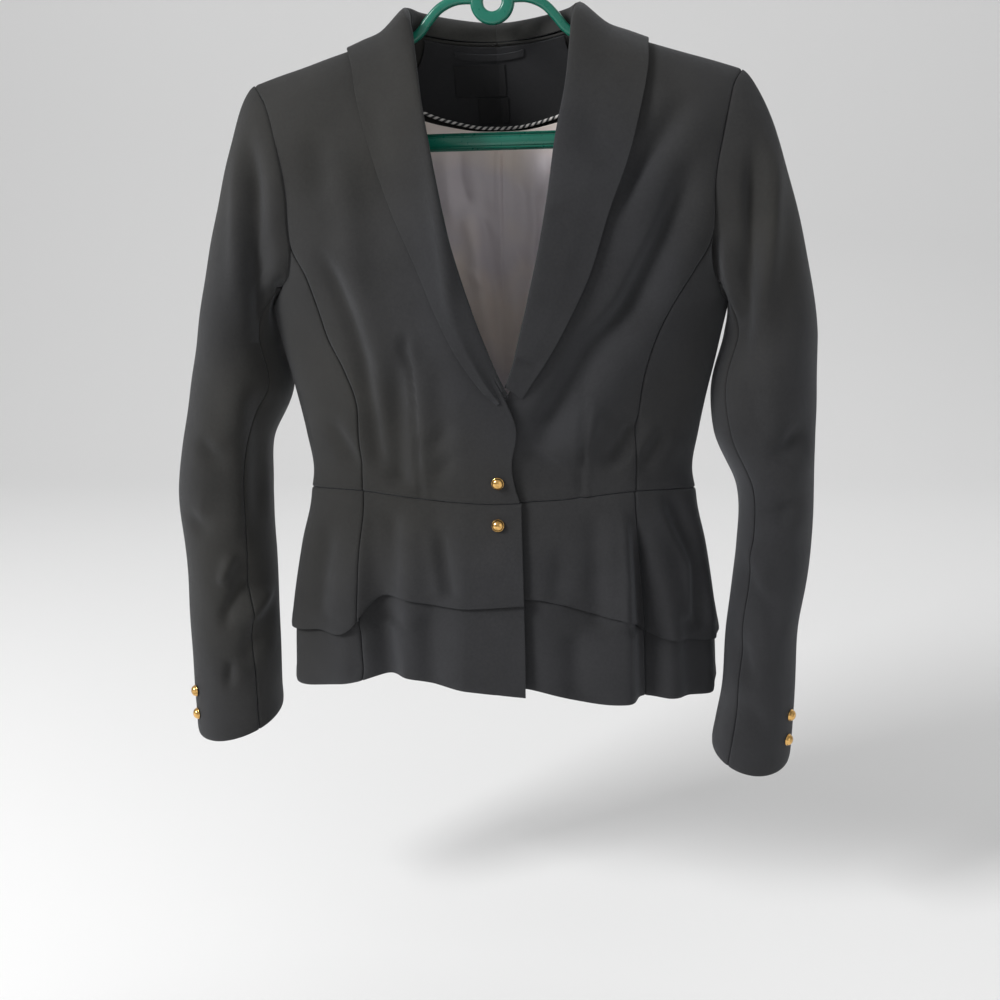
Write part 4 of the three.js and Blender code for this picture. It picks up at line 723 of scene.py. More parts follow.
def through(rails, u):
    """Smooth line through a stack of points: centripetal Catmull-Rom pieces, as whole arrays."""
    count = len(rails)
    first = 2 * rails[0] - rails[1]
    final = 2 * rails[-1] - rails[-2]
    knots = np.concatenate([first[None], rails, final[None]])
    place = u * (count - 1)
    index = np.clip(np.floor(place).astype(int), 0, count - 2)
    weight = (place - index)[..., None]
    picked = [np.take_along_axis(knots, (index + k)[None, ..., None], axis=0)[0] for k in range(4)]
    p0, p1, p2, p3 = picked
    steps = [np.maximum(dot(b - a, b - a), 1e-8)[..., None] ** 0.25 for a, b in ((p0, p1), (p1, p2), (p2, p3))]
    d0, d1, d2 = steps
    t1 = ((p1 - p0) / d0 - (p2 - p0) / (d0 + d1) + (p2 - p1) / d1) * d1
    t2 = ((p2 - p1) / d1 - (p3 - p1) / (d1 + d2) + (p3 - p2) / d2) * d1
    c2 = -3 * p1 + 3 * p2 - 2 * t1 - t2
    c3 = 2 * p1 - 2 * p2 + t1 + t2
    return p1 + t1 * weight + c2 * weight**2 + c3 * weight**3


def collar_surface(side):
    """Collar: seven rails along the neck, from the seam up the stand, over the roll, out to the edge."""
    rows = [dict(row, index=index) for index, row in enumerate(COLLAR[side])]
    last = len(rows) - 1
    read = {name: track(rows, "index", name) for name in ("edgeX", "edgeZ", "stand", "lean", "roll", "lift")}
    back_rows = rows[:COLLAR_TURN] + [{"at": 1, "index": COLLAR_TURN}]
    back_at = track(back_rows, "index", "at")
    front_at = track(rows[COLLAR_TURN:], "index", "at")
    inner = row_edge(FRONT_INNER[side], "x", 0, BODY_ROWS)

    def on_body(angle, z, face):
        def probe(a, h):
            return body_point(a, np.minimum(h, shoulder_z(body_half(h) * np.sin(a))), face)

        point = probe(angle, z)
        along = probe(angle + 0.004, z - 0.5) - probe(angle - 0.004, z - 0.5)
        up = point - probe(angle, z - 1)
        normal = unit(np.cross(along, up) * (1 if face == FRONT else -1))
        if face == FRONT:
            point[..., 1] -= front_lift(side, point[..., 0])
        return point, normal

    def base(t):
        return neck_seam(np.clip(back_at(t), 0, 1)), inner(front_at(t) / BODY_ROWS)

    def pick(t, back, front):
        return np.where((t < COLLAR_TURN)[..., None], back, front)

    def base_point(t):
        back, front = base(t)
        places = ((back, BACK), (front, FRONT))
        return pick(t, *(body_point(place[..., 0], place[..., 1], face) for place, face in places))

    def surface(u, v):
        t = v * last
        back, front = base(t)
        back_point, back_normal = on_body(back[..., 0], back[..., 1], BACK)
        front_point, front_normal = on_body(front[..., 0], front[..., 1], FRONT)
        here = pick(t, back_point, front_point)
        normal = pick(t, back_normal, front_normal)
        place_z = pick(t, back, front)[..., 1]
        off_centre = smooth(0, 0.4, t)
        tangent = base_point(np.minimum(t + 0.05, last)) - base_point(np.maximum(t - 0.05, 0))
        tangent = unit(tangent * np.stack([1 + 0 * t, off_centre, off_centre], axis=-1))
        normal = normal * np.stack([off_centre, 1 + 0 * t, 1 + 0 * t], axis=-1)
        ridge = np.array([math.sin(SHOULDER_SLOPE), 0, math.cos(SHOULDER_SLOPE)])
        near_ridge = (1 - smooth(0, 1.2, np.abs(t - COLLAR_TURN)))[..., None]
        normal = unit(lerp(normal, ridge, near_ridge))
        inward = unit(np.cross(normal, tangent))
        turned = np.where(t > 1, inward[..., 0] > 0, inward[..., 2] < 0)
        inward = np.where(turned[..., None], -inward, inward)

        def aim(degrees, length):
            angle = np.radians(degrees)
            return inward * (np.cos(angle) * length)[..., None] + normal * (np.sin(angle) * length)[..., None]

        tilt = read["lean"](t)
        height = read["stand"](t)
        wall = here + aim(tilt - STAND_BEND, height * STAND_SHARE)
        seam = here - normal * BODY_CLOTH + inward * 2 * SEAM
        rise = np.maximum(dot(unit(wall - seam), normal), 0)
        seam = seam + inward * (COLLAR_SEAT + COLLAR_CLOTH * rise)[..., None]
        roll_point = here + aim(tilt, height)
        crest = roll_point + aim(tilt + CREST_TURN, read["roll"](t))
        edge_x = read["edgeX"](t)
        edge_z = np.minimum(read["edgeZ"](t), shoulder_z(edge_x))

        def on_fall(share):
            x = lerp(here[..., 0], edge_x, share)
            z = np.minimum(lerp(place_z, edge_z, share), shoulder_z(x))
            stand_off = (read["lift"](t) + (1 - share) * read["roll"](t))[..., None]
            ends = [on_body(angle_of(x, z), z, face) for face in (BACK, FRONT)]
            return pick(t, *(point + direction * stand_off for point, direction in ends))

        rails = np.stack([seam, wall, roll_point, crest, *(on_fall(share) for share in FALL_SHARES)])
        return mirrored(through(rails, u), SIDES[side])

    return surface


flare_by = {column: track(FLARE, "drop", column) for column in ("half", "front", "back")}


def hump(t):
    """One wave of a cosine, from 0 up to 1 and down to 0."""
    return np.where(np.abs(t) < 1, (1 + np.cos(math.pi * t)) / 2, 0)


def peplum_point(side, degrees, drop, calm=1):
    """Skin of the peplum: the waist's oval, wider with the drop, with the flutes' waves added outwards."""
    angle = np.radians(degrees)
    seam_z = waist_z(np.abs(degrees))
    share = (np.maximum(drop, 0) / FLUTE_DROP) ** FLUTE_GROWTH * lerp(1, calm, smooth(CALM_FROM, CALM_TO, drop))
    fall = np.clip(drop / FLUTE_DROP, 0, FALL_LIMIT)
    swell = 0 * share
    for flute in FLUTES[side]:
        away = degrees - lerp(flute.waist, flute.hem, fall)
        swell = swell + flute.height * share * hump(away / np.where(away < 0, flute.fore, flute.aft))
    front = np.cos(angle) > 0
    depth = np.where(front, body_depth[FRONT](seam_z) + flare_by["front"](drop),
                     body_depth[BACK](seam_z) + flare_by["back"](drop))
    half = body_half(seam_z) + flare_by["half"](drop)
    out = unit(np.stack([np.sin(angle) * depth, -np.cos(angle) * half, 0 * angle], axis=-1))
    skin = np.stack([half * np.sin(angle), -depth * np.cos(angle), seam_z - drop], axis=-1)
    return skin + out * swell[..., None]


def peplum_surface(side, tier, start, end):
    """Panel of one tier between two seams, from the hem up to the waist."""
    hem_z = track(HEM[tier.name, side], "angle", "z")

    def surface(u, v):
        top = lerp(start(0.0), end(0.0), u)
        drop = (1 - v) * (waist_z(np.abs(top)) - hem_z(lerp(start(1.0), end(1.0), u)))
        fall = drop / FLUTE_DROP
        degrees = lerp(start(fall), end(fall), u)
        points = peplum_point(side, degrees, drop, tier.calm)
        if side == "right":
            near = 1 - smooth(OPENING_LIFT_FULL, OPENING_LIFT_NONE, degrees)
            points[..., 1] -= near * (OVERLAP_LIFT + OVERLAP_FLARE * fall)
        return mirrored(points, SIDES[side])

    return surface


def inside_back(x, z):
    """Point of the back's skin at any x and height."""
    spots = spot(np.abs(x), z)
    points = body_point(spots[..., 0], spots[..., 1], BACK)
    points[..., 0] *= np.where(x < 0, -1, 1)
    return points


def along_line(points, line):
    """Distance from a line of x and z, the same with its side as a sign, and the share of the line passed."""
    place = points[..., [0, 2]]
    line = np.array(line, float)
    nearest = np.full(place.shape[:-1], 1e9)
    offset = np.zeros_like(nearest)
    share = np.zeros_like(nearest)
    for index, (a, b) in enumerate(zip(line[:-1], line[1:])):
        span = b - a
        t = np.clip(dot(place - a, span) / dot(span, span), 0, 1)
        away = place - (a + span * t[..., None])
        distance = np.hypot(away[..., 0], away[..., 1])
        turned = (span[0] * away[..., 1] - span[1] * away[..., 0]) / np.hypot(*span)
        closer = distance < nearest
        nearest = np.where(closer, distance, nearest)
        offset = np.where(closer, np.where(turned < 0, -distance, distance), offset)
        share = np.where(closer, (index + t) / (len(line) - 1), share)
    return nearest, offset, share


def crease_height(points, creases):
    """Soft troughs and ridges: a bell of the distance from each line, with a weaker one opposite beside it."""
    total = np.zeros(points.shape[:-1])
    for crease in creases:
        nearest, offset, share = along_line(points, crease.line)
        fade = smooth(0, crease.fade_in, share) * smooth(0, crease.fade_out, 1 - share)
        bell = np.exp(-(nearest / crease.width) ** 2)
        beside = np.exp(-((offset - 2.1 * crease.width) / (1.5 * crease.width)) ** 2)
        total += crease.height * fade * (bell - 0.4 * beside)
    return total


def body_out(points):
    """Outward direction that neighbouring panels share: the body's oval in plan, upwards at the shoulder ridge."""
    x, y, z = (points[..., axis] for axis in range(3))
    flat = unit(np.stack([x / 210**2, y / 80**2, 0 * z], axis=-1))
    at_ridge = 1 - smooth(0, RIDGE_ROUND, shoulder_z(x) - z)
    return unit(lerp(flat, np.array([0.0, 0.0, 1.0]), at_ridge[..., None]))


def arm_out(points):
    """Outward direction that the two sleeve pieces share: level, away from the arm's own upright line."""
    x = points[..., 0]
    axis = 245 * np.sign(x)
    return unit(np.stack([x - axis, points[..., 1] + 8, 0 * x], axis=-1))


def ripple_height(points, height):
    """Gentle waves: a mean of sines of x and z with unequal lengths."""
    x = points[..., 0]
    z = points[..., 2]
    waves = [np.sin(2 * math.pi * (x / across + z / along) + shift) for across, along, shift in RIPPLES]
    return height * sum(waves) / len(waves)


def facing_only(normals, face):
    """1 where a surface looks to the front or the back, falling to 0 at its sides."""
    return smooth(0.05, 0.55, face * normals[..., 1])


def marks(length, cell):
    """Steps from 0 to 1: close at both ends, where the edge turns, and even between."""
    near = np.array([0, 0.45, 1.0, 1.7, 2.8]) / length
    middle = np.linspace(near[-1], 1 - near[-1], max(int(length / cell), 4))
    return np.concatenate([near[:-1], middle, 1 - near[-2::-1]])


def arc_lengths(points, axis):
    """Distance run along one axis of a grid."""
    steps = np.linalg.norm(np.diff(points, axis=axis), axis=-1)
    start = np.zeros_like(np.take(steps, [0], axis=axis))
    return np.concatenate([start, np.cumsum(steps, axis=axis)], axis=axis)


def grid_normals(points, heart):
    """Normals of a grid: the cross product of its two differences, turned away from the heart."""
    along = np.gradient(points, axis=0)
    up = np.gradient(points, axis=1)
    normals = unit(np.cross(along, up))
    middle = (points.shape[0] // 2, points.shape[1] // 2)
    away = points[middle] - heart
    flipped = dot(normals[middle], away) < 0
    return (-normals if flipped else normals), flipped


def grid_object(name, points, flipped, closed=False):
    """Mesh of one grid of points in millimetres, with its own flat lengths as its UV map in metres."""
    columns, rows = points.shape[:2]
    index = np.arange(columns * rows).reshape(columns, rows)
    if closed:
        index = np.concatenate([index, index[:, :1]], axis=1)
    quads = np.stack([index[:-1, :-1], index[1:, :-1], index[1:, 1:], index[:-1, 1:]], axis=-1).reshape(-1, 4)
    if flipped:
        quads = quads[:, ::-1]
    mesh = bpy.data.meshes.new(name)
    mesh.vertices.add(columns * rows)
    mesh.vertices.foreach_set("co", (points * MM).ravel())
    mesh.loops.add(quads.size)
    mesh.loops.foreach_set("vertex_index", quads.ravel())
    mesh.polygons.add(len(quads))
    mesh.polygons.foreach_set("loop_start", np.arange(0, quads.size, 4))
    mesh.polygons.foreach_set("use_smooth", np.ones(len(quads), bool))
    across = arc_lengths(points, 0)[:, rows // 2]
    along = arc_lengths(points, 1)[columns // 2]
    flat = np.stack(np.meshgrid(across, along, indexing="ij"), axis=-1).reshape(-1, 2) * MM
    layer = mesh.uv_layers.new(name="cut")
    layer.data.foreach_set("uv", flat[quads.ravel()].ravel())
    mesh.update(calc_edges=True)
    mesh.validate()
    thing = bpy.data.objects.new(name, mesh)
    bpy.context.scene.collection.objects.link(thing)
    return thing


def solid_object(name, vertices, faces):
    """Mesh of points in millimetres and faces, with smooth shading."""
    mesh = bpy.data.meshes.new(name)
    mesh.from_pydata((np.asarray(vertices) * MM).tolist(), [], [list(face) for face in faces])
    mesh.polygons.foreach_set("use_smooth", np.ones(len(mesh.polygons), bool))
    mesh.update(calc_edges=True)
    mesh.validate()
    thing = bpy.data.objects.new(name, mesh)
    bpy.context.scene.collection.objects.link(thing)
    return thing


def settle(thing, node, slot, material):
    """Gives a piece its body and its material, and hides the node that it stands for; the slot is not used."""
    thing.data.materials.append(material)
    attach(thing, "root")
    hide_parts(node)
    return thing


@dataclass
class Cloth:
    """How a cloth piece is made: its surface, thickness, depth under it, seams, creases and cell size."""

    node: str
    surface: object
    slot: str
    cloth: float
    depth: object = lambda u, v: 0 * u
    seams: tuple = ()
    hem: tuple = ()
    creases: tuple = ()
    back_creases: tuple = ()
    gain: float = CREASE_GAIN
    face: int = 0
    ripple: float = 0.6
    cell: float = 4.0
    heart: object = None
    rests_on: tuple = ()
    press: object = None
    sleeve: bool = False
    shared_way: bool = False
    tape: bool = False


def make_cloth(piece, material):
    """Samples a surface finely, presses seams and creases into it and gives it its thickness."""
    coarse = np.linspace(0, 1, 33)
    trial = piece.surface(*np.meshgrid(coarse, coarse, indexing="ij"))
    width = float(arc_lengths(trial, 0)[-1].max())
    length = float(arc_lengths(trial, 1)[:, -1].max())
    u, v = np.meshgrid(marks(width, piece.cell), marks(length, piece.cell), indexing="ij")
    points = piece.surface(u, v)
    middle = points[points.shape[0] // 2, points.shape[1] // 2]
    heart = piece.heart if piece.heart is not None else np.array([middle[0] * 0.5, 0, middle[2] - 60])
    normals, flipped = grid_normals(points, heart)
    if piece.shared_way:
        normals = body_out(points)
    height = -piece.depth(u, v) + ripple_height(points, piece.ripple)
    side_weight = facing_only(normals, piece.face) if piece.face else 1
    height = height + piece.gain * crease_height(points, piece.creases) * side_weight
    height = height + piece.gain * crease_height(points, piece.back_creases) * facing_only(normals, BACK)
    runs = {"u0": u * width, "u1": (1 - u) * width, "v0": v * length, "v1": (1 - v) * length}
    for hem in piece.hem:
        height = height + HEM_RELIEF * (smooth(14, 8, runs[hem]) - smooth(3, 0, runs[hem]))
    body_way, arm_way = body_out(points), arm_out(points)
    points = points + normals * height[..., None]
    for seam in piece.seams:
        way = arm_way if piece.sleeve and seam[0] == "u" else body_way
        depth = SEAM_DIP * np.exp(-(runs[seam] / SEAM_REACH) ** 2)
        depth = depth + SEAM_FLANGE * np.exp(-(runs[seam] / FLANGE_REACH) ** 2)
        points = points - way * depth[..., None]
    if piece.press:
        points = points + piece.press(points, u, v)
    thing = grid_object(f"{piece.node}_cloth", points, flipped)
    wall = thing.modifiers.new("Wall", "SOLIDIFY")
    wall.thickness = piece.cloth * MM
    wall.offset = -1
    settle(thing, piece.node, piece.slot, material)
    if piece.tape:
        return thing
    list(piece.rests_on)
    return thing


# Materials

class Shading:
    """A new material, with a short call for each kind of node that it is made of."""

    def __init__(self, name):
        self.material = bpy.data.materials.new(name)
        self.material.use_nodes = True
        self.nodes = self.material.node_tree.nodes
        self.shader = self.nodes["Principled BSDF"]

    def put(self, value, socket):
        """Sets a socket to a value, or links another node's output to it."""
        if isinstance(value, bpy.types.NodeSocket):
            self.material.node_tree.links.new(value, socket)
        else:
            socket.default_value = value

    def node(self, kind, output, inputs, **settings):
        """A new node with its settings and inputs, read at one output."""
        node = self.nodes.new(kind)
        for name, value in settings.items():
            setattr(node, name, value)
        for name, value in inputs.items():
            self.put(value, node.inputs[name])
        return node.outputs[output]

    def set(self, **values):
        """Sets the shader's sockets, whose names are written with underscores."""
        for name, value in values.items():
            self.put(value, self.shader.inputs[name.replace("_", " ")])

    def noise(self, scale, detail=3.0):
        where = self.node("ShaderNodeTexCoord", "Object", {})
        return self.node("ShaderNodeTexNoise", "Fac", {"Scale": scale, "Detail": detail, "Vector": where})

    def math(self, operation, *values):
        return self.node("ShaderNodeMath", "Value", dict(enumerate(values)), operation=operation)

    def ramp(self, value, low, high, low_at=0.3, high_at=0.7):
        """Colour between two colours by a value."""
        color = self.node("ShaderNodeValToRGB", "Color", {"Fac": value})
        for element, position, end in zip(color.node.color_ramp.elements, (low_at, high_at), (low, high)):
            element.position = position
            element.color = (*end, 1)
        return color

    def bump(self, value, distance, strength=1.0, **base):
        height = {"Distance": distance, "Strength": strength, "Height": value, **base}
        normal = self.node("ShaderNodeBump", "Normal", height)
        self.set(Normal=normal)
        return normal

    def flat_place(self):
        """Place on the cut piece, in metres each way."""
        uv = self.node("ShaderNodeUVMap", "UV", {}, uv_map="cut")
        across = self.node("ShaderNodeSeparateXYZ", "X", {"Vector": uv})
        return across, across.node.outputs["Y"]

    def threads(self, pitch):
        """Plain weave: the product of two sines across the cut piece's own lengths, one each way."""
        turns = 2 * math.pi / pitch
        return self.math("MULTIPLY", *(
            self.math("SINE", self.math("MULTIPLY", place, turns)) for place in self.flat_place()))


def scaled(color, factor):
    return tuple(min(channel * factor, 1.0) for channel in color[:3])


def woven_material(name, color, pitch, roughness, sheen, warm=None, mottle=0.22, weave_depth=0.00012):
    """Woven cloth: threads as bump, uneven dye, faint slubs and a slow drift to a warmer tone as colour."""
    cloth = Shading(name)
    cloudy = cloth.noise(18, 4)
    mixed = cloth.math("ADD", cloth.math("MULTIPLY", cloudy, 0.65), cloth.math("MULTIPLY", cloth.noise(420, 2), 0.35))
    shade = cloth.ramp(mixed, scaled(color, 1 - mottle), scaled(color, 1 + mottle), 0.35, 0.65)
    if warm:
        other = cloth.ramp(mixed, scaled(warm, 1 - mottle), scaled(warm, 1 + mottle), 0.35, 0.65)
        drift = cloth.ramp(cloth.noise(3.1, 1), (0, 0, 0), (1, 1, 1), 0.42, 0.6)
        mix = cloth.nodes.new("ShaderNodeMix")
        mix.data_type = "RGBA"
        for socket, value in (("Factor", drift), ("A", shade), ("B", other)):
            cloth.put(value, mix.inputs[socket])
        shade = mix.outputs["Result"]
    cloth.set(
        Base_Color=shade, Roughness=cloth.math("MULTIPLY_ADD", cloudy, 0.12, roughness - 0.06),
        Sheen_Weight=sheen, Sheen_Roughness=0.45, Sheen_Tint=(0.75, 0.78, 0.85, 1), Specular_IOR_Level=0.3)
    wrinkles = cloth.bump(cloth.noise(95, 3), 0.0006, 0.5)
    cloth.bump(cloth.threads(pitch), weave_depth, 0.8, Normal=wrinkles)
    return cloth.material


def satin_material(name, warm, cool):
    """Satin: a smooth thread face whose colour drifts between two tones."""
    satin = Shading(name)
    satin.set(Base_Color=satin.ramp(satin.noise(11, 2), cool, warm, 0.42, 0.58), Roughness=0.42,
              Sheen_Weight=0.2, Sheen_Roughness=0.3)
    wrinkles = satin.bump(satin.noise(60, 3), 0.0012, 0.6)
    satin.bump(satin.threads(0.0005), 0.00004, 0.5, Normal=wrinkles)
    return satin.material


def striped_material(name, dark, light, pitch, slant):
    """Corded piping: slanting stripes along the cord's length, as a bias-cut strip gives."""
    cord = Shading(name)
    along, around = cord.flat_place()
    turned = cord.math("ADD", cord.math("MULTIPLY", along, 1 / pitch), cord.math("MULTIPLY", around, slant / pitch))
    stripe = cord.math("PINGPONG", cord.math("FRACT", turned), 0.5)
    cord.set(Base_Color=cord.ramp(stripe, dark, light, 0.22, 0.28), Roughness=0.6, Sheen_Weight=0.15)
    cord.bump(cord.threads(0.0006), 0.00005, 0.8)
    return cord.material


def metal_material(name, color, dull):
    """Plated metal with a slightly uneven, handled polish, darker in its low spots."""
    metal = Shading(name)
    handled = metal.noise(260, 4)
    metal.set(Base_Color=metal.ramp(handled, dull, color, 0.3, 0.55), Metallic=1.0,
              Roughness=metal.math("MULTIPLY_ADD", handled, 0.22, 0.1))
    metal.bump(metal.noise(900, 2), 0.00004, 0.5)
    return metal.material


def plastic_material(name, color):
    """Moulded plastic: a glossy face with faint flow marks and fine scratches."""
    plastic = Shading(name)
    plastic.set(
        Base_Color=plastic.ramp(plastic.noise(14, 3), scaled(color, 0.86), scaled(color, 1.12)),
        Roughness=plastic.math("MULTIPLY_ADD", plastic.noise(210, 4), 0.2, 0.2),
        Subsurface_Weight=0.08, Subsurface_Radius=(0.004, 0.012, 0.008), Coat_Weight=0.25, Coat_Roughness=0.12)
    plastic.bump(plastic.noise(70, 2), 0.0003, 0.35)
    return plastic.material


def plain_material(name, color, roughness):
    plain = Shading(name)
    plain.set(Base_Color=(*color, 1), Roughness=roughness)
    return plain.material


def suiting(context):
    return shared("suiting_cloth", lambda: woven_material(
        "suiting_cloth", context.scene.jacket_cloth.suiting, context.scene.jacket_cloth.weave, 0.8, 0.16,
        warm=context.scene.jacket_cloth.suiting_warm))


def shared(name, make):
    """A material by name, made the first time that it is asked for."""
    found = bpy.data.materials.get(name)
    return found if found else make()


# Sizes and colours that a user would change

def color_setting(name, description, default):
    return bpy.props.FloatVectorProperty(
        name=name, description=description, subtype="COLOR", size=3, min=0, max=1, default=default)


def power_setting(name, description, default):
    return bpy.props.FloatProperty(
        name=name, description=description, subtype="POWER", unit="POWER", default=default, min=0)


class JacketCloth(bpy.types.PropertyGroup):
    """Colours and weave of the cloth."""

    suiting: color_setting("Suiting", "Colour of the outer cloth", SUITING_COLOR)
    suiting_warm: color_setting("Suiting, warm", "Warmer tone that the outer cloth drifts to", SUITING_WARM)
    facing: color_setting("Facing", "Colour of the facing and the hanger loop", FACING_COLOR)
    lining_warm: color_setting("Lining, warm", "Warmer tone of the satin lining", LINING_WARM)
    lining_cool: color_setting("Lining, cool", "Cooler tone of the satin lining", LINING_COOL)
    label: color_setting("Label", "Colour of the bare labels", LABEL_COLOR)
    weave: bpy.props.FloatProperty(
        name="Weave", description="Distance between neighbouring threads", subtype="DISTANCE", unit="LENGTH",
        default=0.0009, min=0.0002, max=0.01)


class JacketHard(bpy.types.PropertyGroup):
    """Colours of the buttons and the hanger."""

    button: color_setting("Buttons", "Colour of the polished buttons", BUTTON_COLOR)
    hanger: color_setting("Hanger", "Colour of the moulded hanger", HANGER_COLOR)


class JacketStage(bpy.types.PropertyGroup):
    """Light and camera."""

    key: power_setting("Key light", "Power of the large front light", 92)
    fill: power_setting("Fill light", "Power of the softer light from the other side", 9)
    sky: bpy.props.FloatProperty(
        name="Surroundings", description="Brightness of the pale surroundings", default=0.45, min=0, max=4)
    lens: bpy.props.FloatProperty(
        name="Lens", description="Focal length of the camera in millimetres", default=LENS, min=10, max=200)


# Pieces

class JACKET_OT_body(bpy.types.Operator):
    """Makes the fronts, side panels and backs"""

    bl_idname = "jacket.body"
    bl_label = "Body panels"

    def execute(self, context):
        cloth = suiting(context)
        for side in SIDES:
            pieces = [
                Cloth(f"front_{side}", front_surface(side), "suiting", BODY_CLOTH, face=FRONT,
                      creases=FRONT_CREASES, seams=("u1", "v0", "v1"), rests_on=("hanger",)),
                Cloth(f"side_front_{side}", side_surface(side, FRONT), "suiting", BODY_CLOTH, face=FRONT,
                      creases=FRONT_CREASES, seams=("u0", "u1", "v0", "v1"), rests_on=(f"front_{side}",)),
                Cloth(f"back_{side}", back_surface(side), "suiting", BODY_CLOTH, face=BACK,
                      creases=BACK_CREASES, seams=("u0", "u1", "v0", "v1"), rests_on=("hanger",)),
                Cloth(f"side_back_{side}", side_surface(side, BACK), "suiting", BODY_CLOTH, face=BACK,
                      creases=BACK_CREASES, seams=("u0", "u1", "v0", "v1"), rests_on=(f"back_{side}",)),
            ]
            for piece in pieces:
                make_cloth(piece, cloth)
        return {"FINISHED"}


class JACKET_OT_sleeves(bpy.types.Operator):
    """Makes the two-piece sleeves"""

    bl_idname = "jacket.sleeves"
    bl_label = "Sleeves"

    def execute(self, context):
        cloth = suiting(context)
        for side, sx in SIDES.items():
            heart = np.array([240 * sx, 0, -500])
            spans = (("top_sleeve", BACK_SEAM_RAIL, SLEEVE_RAILS + FRONT_SEAM_RAIL, f"front_{side}"),
                     ("under_sleeve", FRONT_SEAM_RAIL, BACK_SEAM_RAIL, f"back_{side}"))
            for name, first, last, holder in spans:
                surface = sleeve_surface(side, first, last)
                make_cloth(Cloth(f"{name}_{side}", surface, "suiting", BODY_CLOTH, heart=heart, face=FRONT,
                                 creases=SLEEVE_CREASES, back_creases=SLEEVE_BACK_CREASES, sleeve=True,
                                 seams=("u0", "u1", "v0"), hem=("v1",), cell=3.8, ripple=1.2,
                                 rests_on=(holder,)), cloth)
        return {"FINISHED"}


class JACKET_OT_collar(bpy.types.Operator):
    """Makes the shawl collar in its two halves"""

    bl_idname = "jacket.collar"
    bl_label = "Shawl collar"

    def execute(self, context):
        cloth = suiting(context)
        for side in SIDES:
            def press(points, u, v, side=side):
                back = COLLAR_END_DROP * smooth(*COLLAR_END, v) * smooth(0.1, 0.4, u)
                if side == "right":
                    past = np.maximum(along_line(points, ROLL_LINE)[1], 0)
                    fall = ROLL_DEEPEST * (1 - np.exp(-ROLL_FALL * past / ROLL_DEEPEST))
                    back = back + fall * smooth(*ROLL_ROWS, v) * smooth(0.02, 0.25, u) * smooth(0.75, 0.6, u)
                return np.stack([0 * back, back, 0 * back], axis=-1)

            make_cloth(Cloth(f"collar_{side}", collar_surface(side), "suiting", COLLAR_CLOTH, face=FRONT,
                             creases=COLLAR_CREASES, cell=2.6, ripple=0.3, press=press,
                             rests_on=(f"front_{side}", f"back_{side}")), cloth)
        return {"FINISHED"}


class JACKET_OT_peplum(bpy.types.Operator):
    """Makes the two tiers of the peplum"""

    bl_idname = "jacket.peplum"
    bl_label = "Peplum"

    def execute(self, context):
        cloth = suiting(context)
        for tier in TIERS:
            for side in SIDES:
                seam = PEPLUM_SEAM[side]

                def opening(fall, side=side):
                    return OPENING_ANGLE[side] + 0 * fall

                def front_seam(fall, seam=seam):
                    return lerp(seam.waist, seam.hem, np.clip(fall, 0, FALL_LIMIT))

                def back_seam(fall):
                    return BACK_SEAM_ANGLE + 0 * fall

                def centre_back(fall):
                    return 180 + 0 * fall

                panels = (("front", opening, front_seam, ("u1", "v1"), f"front_{side}"),
                          ("side", front_seam, back_seam, ("u0", "u1", "v1"), f"side_front_{side}"),
                          ("back", back_seam, centre_back, ("u0", "u1", "v1"), f"back_{side}"))
                for name, start, end, seams, holder in panels:
                    surface = peplum_surface(side, tier, start, end)
                    make_cloth(Cloth(
                        f"{tier.name}_peplum_{name}_{side}", surface, "suiting", PEPLUM_CLOTH,
                        depth=lambda u, v, tier=tier: tier.layer + tier.spread * (1 - v),
                        creases=PEPLUM_CREASES, face=FRONT, shared_way=True, seams=seams, hem=("v0",),
                        cell=3.4, ripple=0.5, rests_on=(holder,)), cloth)
        return {"FINISHED"}


